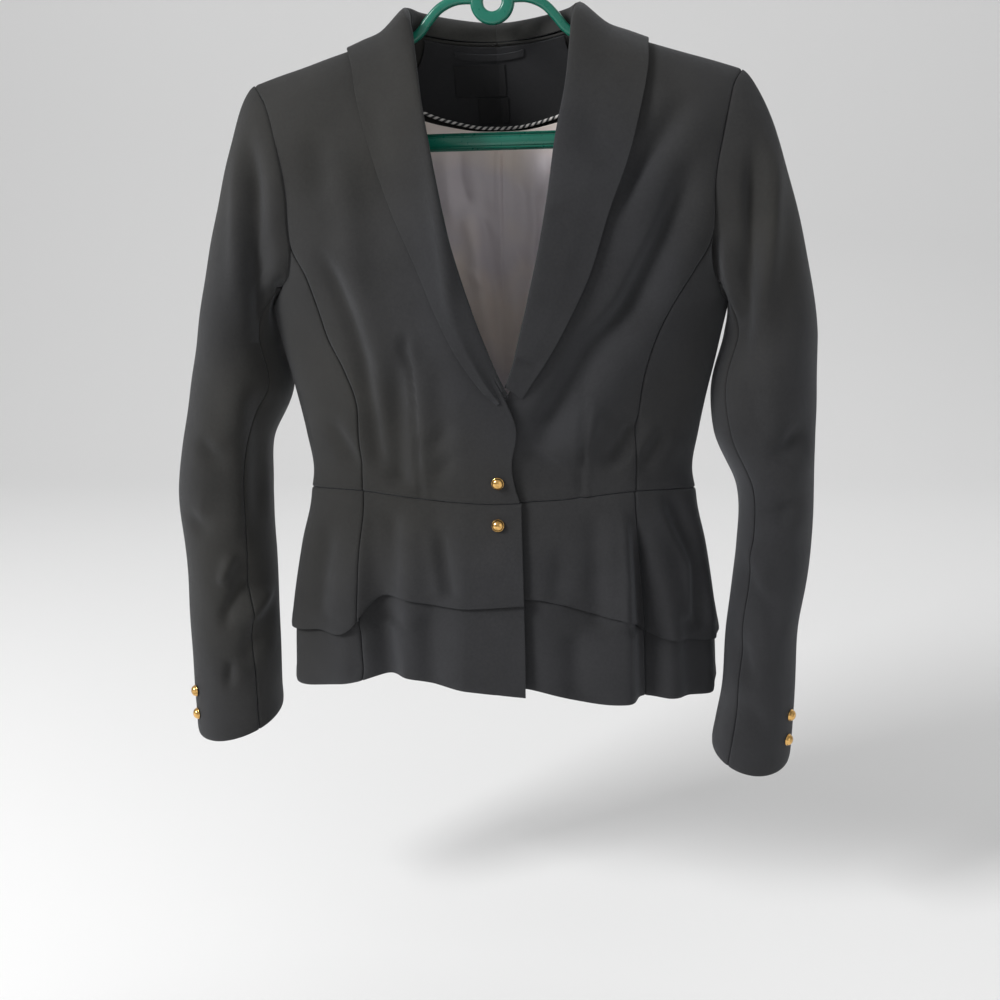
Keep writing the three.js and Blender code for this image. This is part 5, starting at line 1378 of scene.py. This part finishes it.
class JACKET_OT_inside(bpy.types.Operator):
    """Makes the neck facing, its piping, the lining, the hanger loop and the bare labels"""

    bl_idname = "jacket.inside"
    bl_label = "Facing and lining"

    def execute(self, context):
        colors = context.scene.jacket_cloth
        facing = woven_material("facing_cloth", colors.facing, 0.0007, 0.7, 0.2)
        lining = satin_material("lining_satin", tuple(colors.lining_warm), tuple(colors.lining_cool))
        label = woven_material("label_cloth", colors.label, 0.0004, 0.5, 0.1)
        facing_deep = BODY_CLOTH + LAYER_GAP
        label_deep = facing_deep + FACING_CLOTH + LABEL_GAP

        def facing_surface(u, v):
            low = lerp(-FACING_LOW_X, FACING_LOW_X, u)
            top = lerp(-FACING_TOP_X, FACING_TOP_X, u)
            x = lerp(low, top, smooth(0, 1, v))
            high = neck_seam(np.abs(top) / NECK_X)[..., 1] - FACING_TOP_GAP
            return inside_back(x, lerp(piping_z(np.abs(low)) + PIPING_ROUND + 2 * SEAM, high, v))

        make_cloth(Cloth("neck_facing", facing_surface, "facing", FACING_CLOTH, ripple=0.4, cell=3,
                         depth=lambda u, v: facing_deep + 0 * u, rests_on=("back_right", "back_left")), facing)

        edge_angle = track(LINING_EDGE, "z", "angle")
        top_x = body_half(LINING_TOP_Z) * math.sin(math.radians(edge_angle(LINING_TOP_Z)))
        for side, sx in SIDES.items():
            def lining_surface(u, v, sx=sx):
                top_z = piping_z(u * top_x) - PIPING_ROUND - 2 * SEAM
                top_z = top_z - smooth(FACING_LOW_X, top_x, u * top_x) * LINING_CORNER_DROP
                angle = np.radians(u * edge_angle(lerp(LINING_LOW_Z, LINING_TOP_Z, v)))
                return mirrored(body_point(angle, lerp(LINING_LOW_Z, top_z, v), BACK), sx)

            make_cloth(Cloth(f"lining_{side}", lining_surface, "lining", FACING_CLOTH, ripple=1.6, cell=2.6,
                             depth=lambda u, v: BODY_CLOTH + LINING_GAP + LINING_SLACK + 0 * u,
                             creases=LINING_CREASES, gain=LINING_GAIN,
                             rests_on=("neck_facing", f"back_{side}")), lining)

        def loop_surface(u, v):
            x = lerp(LOOP.x0, LOOP.x1, u)
            z = LOOP.z - LOOP.sag * np.sqrt(np.maximum(np.sin(math.pi * u), 0)) - (1 - v) * LOOP.width
            return inside_back(x, z)

        make_cloth(Cloth("hanger_loop", loop_surface, "facing", 1.0, cell=1.2, ripple=0, tape=True,
                         depth=lambda u, v: label_deep + 0 * u, rests_on=("neck_facing",)), facing)
        for mark in LABELS:
            def label_surface(u, v, mark=mark):
                return inside_back(lerp(mark.x0, mark.x1, u), lerp(mark.low, mark.top, v))

            make_cloth(Cloth(mark.name, label_surface, "label", LABEL_CLOTH, cell=2, ripple=0.2,
                             depth=lambda u, v: label_deep + 0 * u, rests_on=("neck_facing",)), label)
        self.make_piping()
        return {"FINISHED"}

    def make_piping(self):
        """Round cord along the facing's lower edge: a circle carried along the edge's line."""
        x = np.linspace(-FACING_LOW_X + 2, FACING_LOW_X - 2, 160)
        centre = inside_back(x, piping_z(np.abs(x)))
        out = unit(centre * np.array([0.1, 1, 0]))
        centre = centre - out * (BODY_CLOTH + LAYER_GAP + PIPING_ROUND)
        along = unit(np.gradient(centre, axis=0))
        side = unit(np.cross(along, out))
        turn = np.linspace(0, 2 * math.pi, 17)
        ring = np.cos(turn)[None, :, None] * out[:, None] + np.sin(turn)[None, :, None] * side[:, None]
        points = centre[:, None] + ring * PIPING_ROUND
        flipped = grid_normals(points[:, :8], centre[80])[1]
        thing = grid_object("neck_piping_cord", points, flipped)
        close_up(thing, merge=True)
        settle(thing, "neck_piping", "piping", striped_material(
            "striped_piping", STRIPE_DARK, STRIPE_LIGHT, PIPING_STRIPE, 0.9))


def close_up(thing, merge=False):
    """Turns every face outwards, once doubled points are joined and open ends are closed where asked."""
    work = bmesh.new()
    work.from_mesh(thing.data)
    if merge:
        bmesh.ops.remove_doubles(work, verts=work.verts, dist=1e-7)
        bmesh.ops.holes_fill(work, edges=[edge for edge in work.edges if edge.is_boundary])
    bmesh.ops.recalc_face_normals(work, faces=work.faces)
    work.to_mesh(thing.data)
    work.free()


def lathe(profile, segments):
    """Solid turned about an axis: rings of the profile's distances, with one point at each end."""
    turn = np.linspace(0, 2 * math.pi, segments, endpoint=False)
    rings = profile[1:-1]
    body = np.stack([rings[:, None, 0] * np.cos(turn), rings[:, None, 0] * np.sin(turn),
                     rings[:, None, 1] + 0 * turn], axis=-1).reshape(-1, 3)
    points = np.vstack([[[0, 0, profile[0, 1]]], body, [[0, 0, profile[-1, 1]]]])
    index = 1 + np.arange(len(rings) * segments).reshape(len(rings), segments)
    after = np.roll(index, -1, axis=1)
    quads = np.stack([index[:-1], after[:-1], after[1:], index[1:]], axis=-1).reshape(-1, 4).tolist()
    first = np.stack([0 * index[0], after[0], index[0]], axis=-1).tolist()
    final = np.stack([0 * index[-1] + len(points) - 1, index[-1], after[-1]], axis=-1).tolist()
    return points, quads + first + final


def button_profile():
    """Back, rounded rim, a groove and a dome."""
    dome = np.linspace(0, math.pi / 2, 14)
    over = np.stack([BUTTON_ROUND * 0.9 * np.cos(dome), BUTTON_RIM + BUTTON_DOME * np.sin(dome)], axis=-1)
    rim = np.array([(0, 0), (BUTTON_ROUND * 0.8, 0), (BUTTON_ROUND * 0.96, 0.25), (BUTTON_ROUND, 0.6),
                    (BUTTON_ROUND * 0.98, 0.95), (BUTTON_ROUND * 0.93, 1.12)])
    return np.vstack([rim, over])


def add_button(name, skin, x, z, sx, material):
    """A button on a skin of own x and height, seated along the skin's own normal."""
    reach = BUTTON_ROUND
    across = skin(x + reach, z) - skin(x - reach, z)
    up = skin(x, z + reach) - skin(x, z - reach)
    out = unit(np.cross(across, up))
    place_button(name, skin(x, z), out, sx, material)


def place_button(name, point, out, sx, material, seat=BUTTON_SEAT):
    point = mirrored(point + out * seat, sx)
    out = mirrored(out, sx)
    side = unit(np.cross(out, np.array([0.0, 0.0, 1.0])))
    up = np.cross(side, out)
    points, faces = lathe(button_profile(), 40)
    turned = point + points[:, :1] * side + points[:, 1:2] * up + points[:, 2:] * out
    thing = solid_object(f"{name}_dome", turned, faces)
    close_up(thing, merge=True)
    settle(thing, name, "button", material)


class JACKET_OT_buttons(bpy.types.Operator):
    """Makes the dome buttons at the waist and the cuffs"""

    bl_idname = "jacket.buttons"
    bl_label = "Buttons"

    def execute(self, context):
        color = tuple(context.scene.jacket_hard.button)
        metal = metal_material("button_metal", color, scaled(color, 0.45))

        def front_skin(x, z):
            point = body_point(angle_of(x, z), np.float64(z), FRONT)
            point[1] -= front_lift("right", x)
            return point

        def tier_skin(x, z):
            drop = waist_z(0) - z
            degrees = np.degrees(np.arcsin(x / (body_half(waist_z(0)) + flare_by["half"](drop))))
            point = peplum_point("right", degrees, drop)
            point[1] -= OVERLAP_LIFT + OVERLAP_FLARE * drop / FLUTE_DROP
            return point

        for (name, x, z), skin in zip(WAIST_BUTTONS, (front_skin, tier_skin)):
            add_button(name, skin, -x, z, SIDES["right"], metal)
        rail = CUFF_BUTTON_RAIL
        for side, heights in CUFF_BUTTONS.items():
            for index, z in enumerate(heights):
                def skin(r, h, side=side):
                    return arm_point(side, np.float64(r), np.float64(h))

                fore = skin(rail + 0.5, z) - skin(rail - 0.5, z)
                up = skin(rail, z + BUTTON_ROUND) - skin(rail, z - BUTTON_ROUND)
                out = unit(np.cross(fore, up))
                out = out if out[0] > 0 else -out
                place_button(f"cuff_button_{side}_{index + 1}", skin(rail, z), out, SIDES[side], metal,
                             CUFF_BUTTON_SEAT)
        return {"FINISHED"}


# Hanger

def curve_through(points, count):
    """Evenly stepped smooth line through points in the plane of the hanger."""
    rails = np.array([(x, 0, z) for x, z in points], float)
    u = np.linspace(0, 1, count)
    stack = np.repeat(rails[:, None], count, axis=1)
    return through(stack, u)


def rounded_section(width, depth, corner, steps=6):
    """Section with rounded corners: four quarter circles."""
    quarters = []
    for index, (sx, sy) in enumerate(((1, 1), (-1, 1), (-1, -1), (1, -1))):
        turn = np.linspace(index, index + 1, steps) * math.pi / 2
        centre = np.array([sx * (width / 2 - corner), sy * (depth / 2 - corner)])
        quarters.append(centre + corner * np.stack([np.cos(turn), np.sin(turn)], axis=-1))
    return np.vstack(quarters)


def sweep(path, section, round_ends):
    """Tube: a section carried square to a line in the X-Z plane, its ends drawn in round or left flat."""
    along = unit(np.gradient(path, axis=0))
    across = np.stack([-along[:, 2], 0 * along[:, 0], along[:, 0]], axis=-1)
    depth = np.array([0.0, 1.0, 0.0])
    size = np.ones(len(path))
    if round_ends:
        run = arc_lengths(path, 0)
        reach = np.abs(section).max()
        to_end = np.minimum(run, run[-1] - run)
        size = np.sqrt(np.clip(1 - (1 - np.clip(to_end / reach, 0, 1)) ** 2, 0.02, 1))
    ring = section[None, :, :1] * across[:, None] + section[None, :, 1:] * depth
    points = path[:, None] + ring * size[:, None, None]
    count = len(section)
    index = np.arange(len(path) * count).reshape(len(path), count)
    after = np.roll(index, -1, axis=1)
    quads = np.stack([index[:-1], after[:-1], after[1:], index[1:]], axis=-1).reshape(-1, 4).tolist()
    return points.reshape(-1, 3), quads + [index[0].tolist(), index[-1][::-1].tolist()]


def joined(parts):
    """Several vertex and face lists as one."""
    points = []
    faces = []
    for vertices, polygons in parts:
        faces += [[corner + len(points) for corner in face] for face in polygons]
        points += vertices.tolist()
    return np.array(points), faces


def arm_line(sx):
    rest = [(x, shoulder_z(x) - ARM_CLEAR - HANGER_BAND / 2) for x in ARM_STOPS]
    return [(x * sx, z) for x, z in (*ARM_INNER, *rest, *ARM_END)]


def hook_line():
    turns = np.radians(np.linspace(*HOOK_TURN, 9))
    hook = [(HOOK_ROUND * math.cos(turn), HOOK_DROP + HOOK_ROUND * math.sin(turn)) for turn in turns]
    return [*hook, *SHANK]


def ring_part():
    """Flat ring: a rounded section carried once round a circle."""
    turn = np.linspace(0, 2 * math.pi, 72, endpoint=False)
    section = rounded_section(RING_OUTER - RING_INNER, HANGER_DEPTH, 2.6)
    mid = (RING_OUTER + RING_INNER) / 2
    away = np.stack([np.cos(turn), 0 * turn, np.sin(turn)], axis=-1)
    points = (np.array([RING_X, 0, RING_Z]) + away[:, None] * (mid + section[None, :, :1])
              + section[None, :, 1:] * np.array([0.0, 1.0, 0.0]))
    count = len(section)
    index = np.arange(72 * count).reshape(72, count)
    beyond = np.roll(index, -1, axis=0)
    quads = np.stack([index, np.roll(index, -1, axis=1), np.roll(beyond, -1, axis=1), beyond], axis=-1)
    return points.reshape(-1, 3), quads.reshape(-1, 4).tolist()


def bar_section():
    """Section of the trouser bar: rounded lips above and below two grooves and a flat face."""
    half = BAR_HEIGHT / 2
    front = [(half, 1.8), (half - 0.7, 3.3), (half - 1.6, 4.0), (6.0, 4.0), (5.5, 3.6), (5.2, 2.6), (4.0, 2.6),
             (3.7, 3.6), (3.2, 4.0)]
    face = front + [(-z, y) for z, y in reversed(front)]
    return np.array(face + [(-z, -y) for z, y in face])


class JACKET_OT_hanger(bpy.types.Operator):
    """Makes the moulded hanger: hook, ring, arms and trouser bar"""

    bl_idname = "jacket.hanger"
    bl_label = "Hanger"

    def execute(self, context):
        section = rounded_section(HANGER_BAND, HANGER_DEPTH, 2.8)
        bar = np.stack([np.linspace(-BAR_HALF, BAR_HALF, 61), np.zeros(61), np.full(61, BAR_Z)], axis=-1)
        parts = [sweep(curve_through(hook_line(), 150), section, True), ring_part(),
                 sweep(bar, bar_section(), False)]
        parts += [sweep(curve_through(arm_line(sx), 170), section, True) for sx in SIDES.values()]
        thing = solid_object("moulded_hanger", *joined(parts))
        close_up(thing)
        color = tuple(context.scene.jacket_hard.hanger)
        settle(thing, "hanger", "hanger", plastic_material("hanger_plastic", color))
        return {"FINISHED"}


# Stage

def area_light(name, place, size, power):
    """Square soft light, turned towards the jacket."""
    light = bpy.data.lights.new(name, "AREA")
    light.size = size
    light.energy = power
    thing = bpy.data.objects.new(name, light)
    thing.location = place
    thing.rotation_euler = facing_rotation(unit(np.array(place) - np.array(LIGHT_AIM)))
    thing.visible_camera = False
    bpy.context.scene.collection.objects.link(thing)


def backdrop(name):
    """Pale paper: level floor, a quarter circle behind it and a wall, as one smooth sheet."""
    turn = np.linspace(0, math.pi / 2, 25)
    bend_y = BACKDROP_Y - BACKDROP_BEND + BACKDROP_BEND * np.sin(turn)
    bend_z = FLOOR_Z + BACKDROP_BEND * (1 - np.cos(turn))
    y = np.concatenate([[BACKDROP_FRONT], bend_y, [BACKDROP_Y]])
    z = np.concatenate([[FLOOR_Z], bend_z, [BACKDROP_TOP]])
    line = np.stack([0 * y, y, z], axis=-1)
    sideways = np.array([BACKDROP_HALF, 0, 0])
    return grid_object(name, np.stack([line - sideways, line + sideways]), False)


def facing_rotation(back, roll=0.0):
    """Turn that points -Z away from a direction, with Z up and a roll."""
    right = unit(np.cross(np.array([0.0, 0.0, 1.0]), back))
    up = np.cross(back, right)
    turned_right = right * math.cos(roll) - up * math.sin(roll)
    turned_up = up * math.cos(roll) + right * math.sin(roll)
    return Matrix((Vector(turned_right), Vector(turned_up), Vector(back))).transposed().to_euler()


class JACKET_OT_stage(bpy.types.Operator):
    """Makes the pale floor, the soft lights and the camera"""

    bl_idname = "jacket.stage"
    bl_label = "Stage"

    def execute(self, context):
        settings = context.scene.jacket_stage
        floor = backdrop("pale_floor")
        floor.data.materials.append(plain_material("floor_paper", (0.90, 0.90, 0.90), 0.95))
        area_light("key", (-2.2, -1.8, 1.2), 1.0, settings.key)
        area_light("fill", (1.9, -2.0, 0.2), 2.0, settings.fill)
        area_light("rear", (0.5, 2.2, 1.6), 1.8, settings.fill * REAR_SHARE)
        world = bpy.data.worlds.new("pale_surroundings")
        world.use_nodes = True
        world.node_tree.nodes["Background"].inputs["Color"].default_value = (1, 1, 1, 1)
        world.node_tree.nodes["Background"].inputs["Strength"].default_value = settings.sky
        context.scene.world = world
        turn, rise = math.radians(AZIMUTH), math.radians(ELEVATION)
        back = np.array([math.sin(turn) * math.cos(rise), -math.cos(turn) * math.cos(rise), math.sin(rise)])
        camera = bpy.data.cameras.new("camera")
        camera.lens = settings.lens
        camera.clip_end = 50
        thing = bpy.data.objects.new("camera", camera)
        thing.location = (np.array(TARGET) + back * DISTANCE) * MM
        thing.rotation_euler = facing_rotation(back, math.radians(ROLL))
        context.scene.collection.objects.link(thing)
        context.scene.camera = thing
        context.scene.view_settings.view_transform = "Standard"
        return {"FINISHED"}


class JACKET_PT_panel(bpy.types.Panel):
    """Lists the jacket's pieces and settings"""

    bl_idname = "JACKET_PT_panel"
    bl_label = "Jacket"
    bl_space_type = "VIEW_3D"
    bl_region_type = "UI"
    bl_category = "Jacket"

    def draw(self, context):
        for operator in OPERATORS:
            self.layout.operator(operator.bl_idname)
        for group in (context.scene.jacket_cloth, context.scene.jacket_hard, context.scene.jacket_stage):
            for name in group.bl_rna.properties.keys():
                if name not in {"rna_type", "name"}:
                    self.layout.prop(group, name)


OPERATORS = (
    JACKET_OT_body, JACKET_OT_sleeves, JACKET_OT_collar, JACKET_OT_peplum, JACKET_OT_inside,
    JACKET_OT_buttons, JACKET_OT_hanger, JACKET_OT_stage,
)
CLASSES = (JacketCloth, JacketHard, JacketStage, *OPERATORS, JACKET_PT_panel)


def register():
    for each in CLASSES:
        bpy.utils.register_class(each)
    bpy.types.Scene.jacket_cloth = bpy.props.PointerProperty(type=JacketCloth)
    bpy.types.Scene.jacket_hard = bpy.props.PointerProperty(type=JacketHard)
    bpy.types.Scene.jacket_stage = bpy.props.PointerProperty(type=JacketStage)


def unregister():
    del bpy.types.Scene.jacket_cloth
    del bpy.types.Scene.jacket_hard
    del bpy.types.Scene.jacket_stage
    for each in reversed(CLASSES):
        bpy.utils.unregister_class(each)


def main():
    """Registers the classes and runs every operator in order."""
    register()
    bpy.ops.jacket.body()
    bpy.ops.jacket.sleeves()
    bpy.ops.jacket.collar()
    bpy.ops.jacket.peplum()
    bpy.ops.jacket.inside()
    bpy.ops.jacket.buttons()
    bpy.ops.jacket.hanger()
    bpy.ops.jacket.stage()


if __name__ == "__main__":
    main()
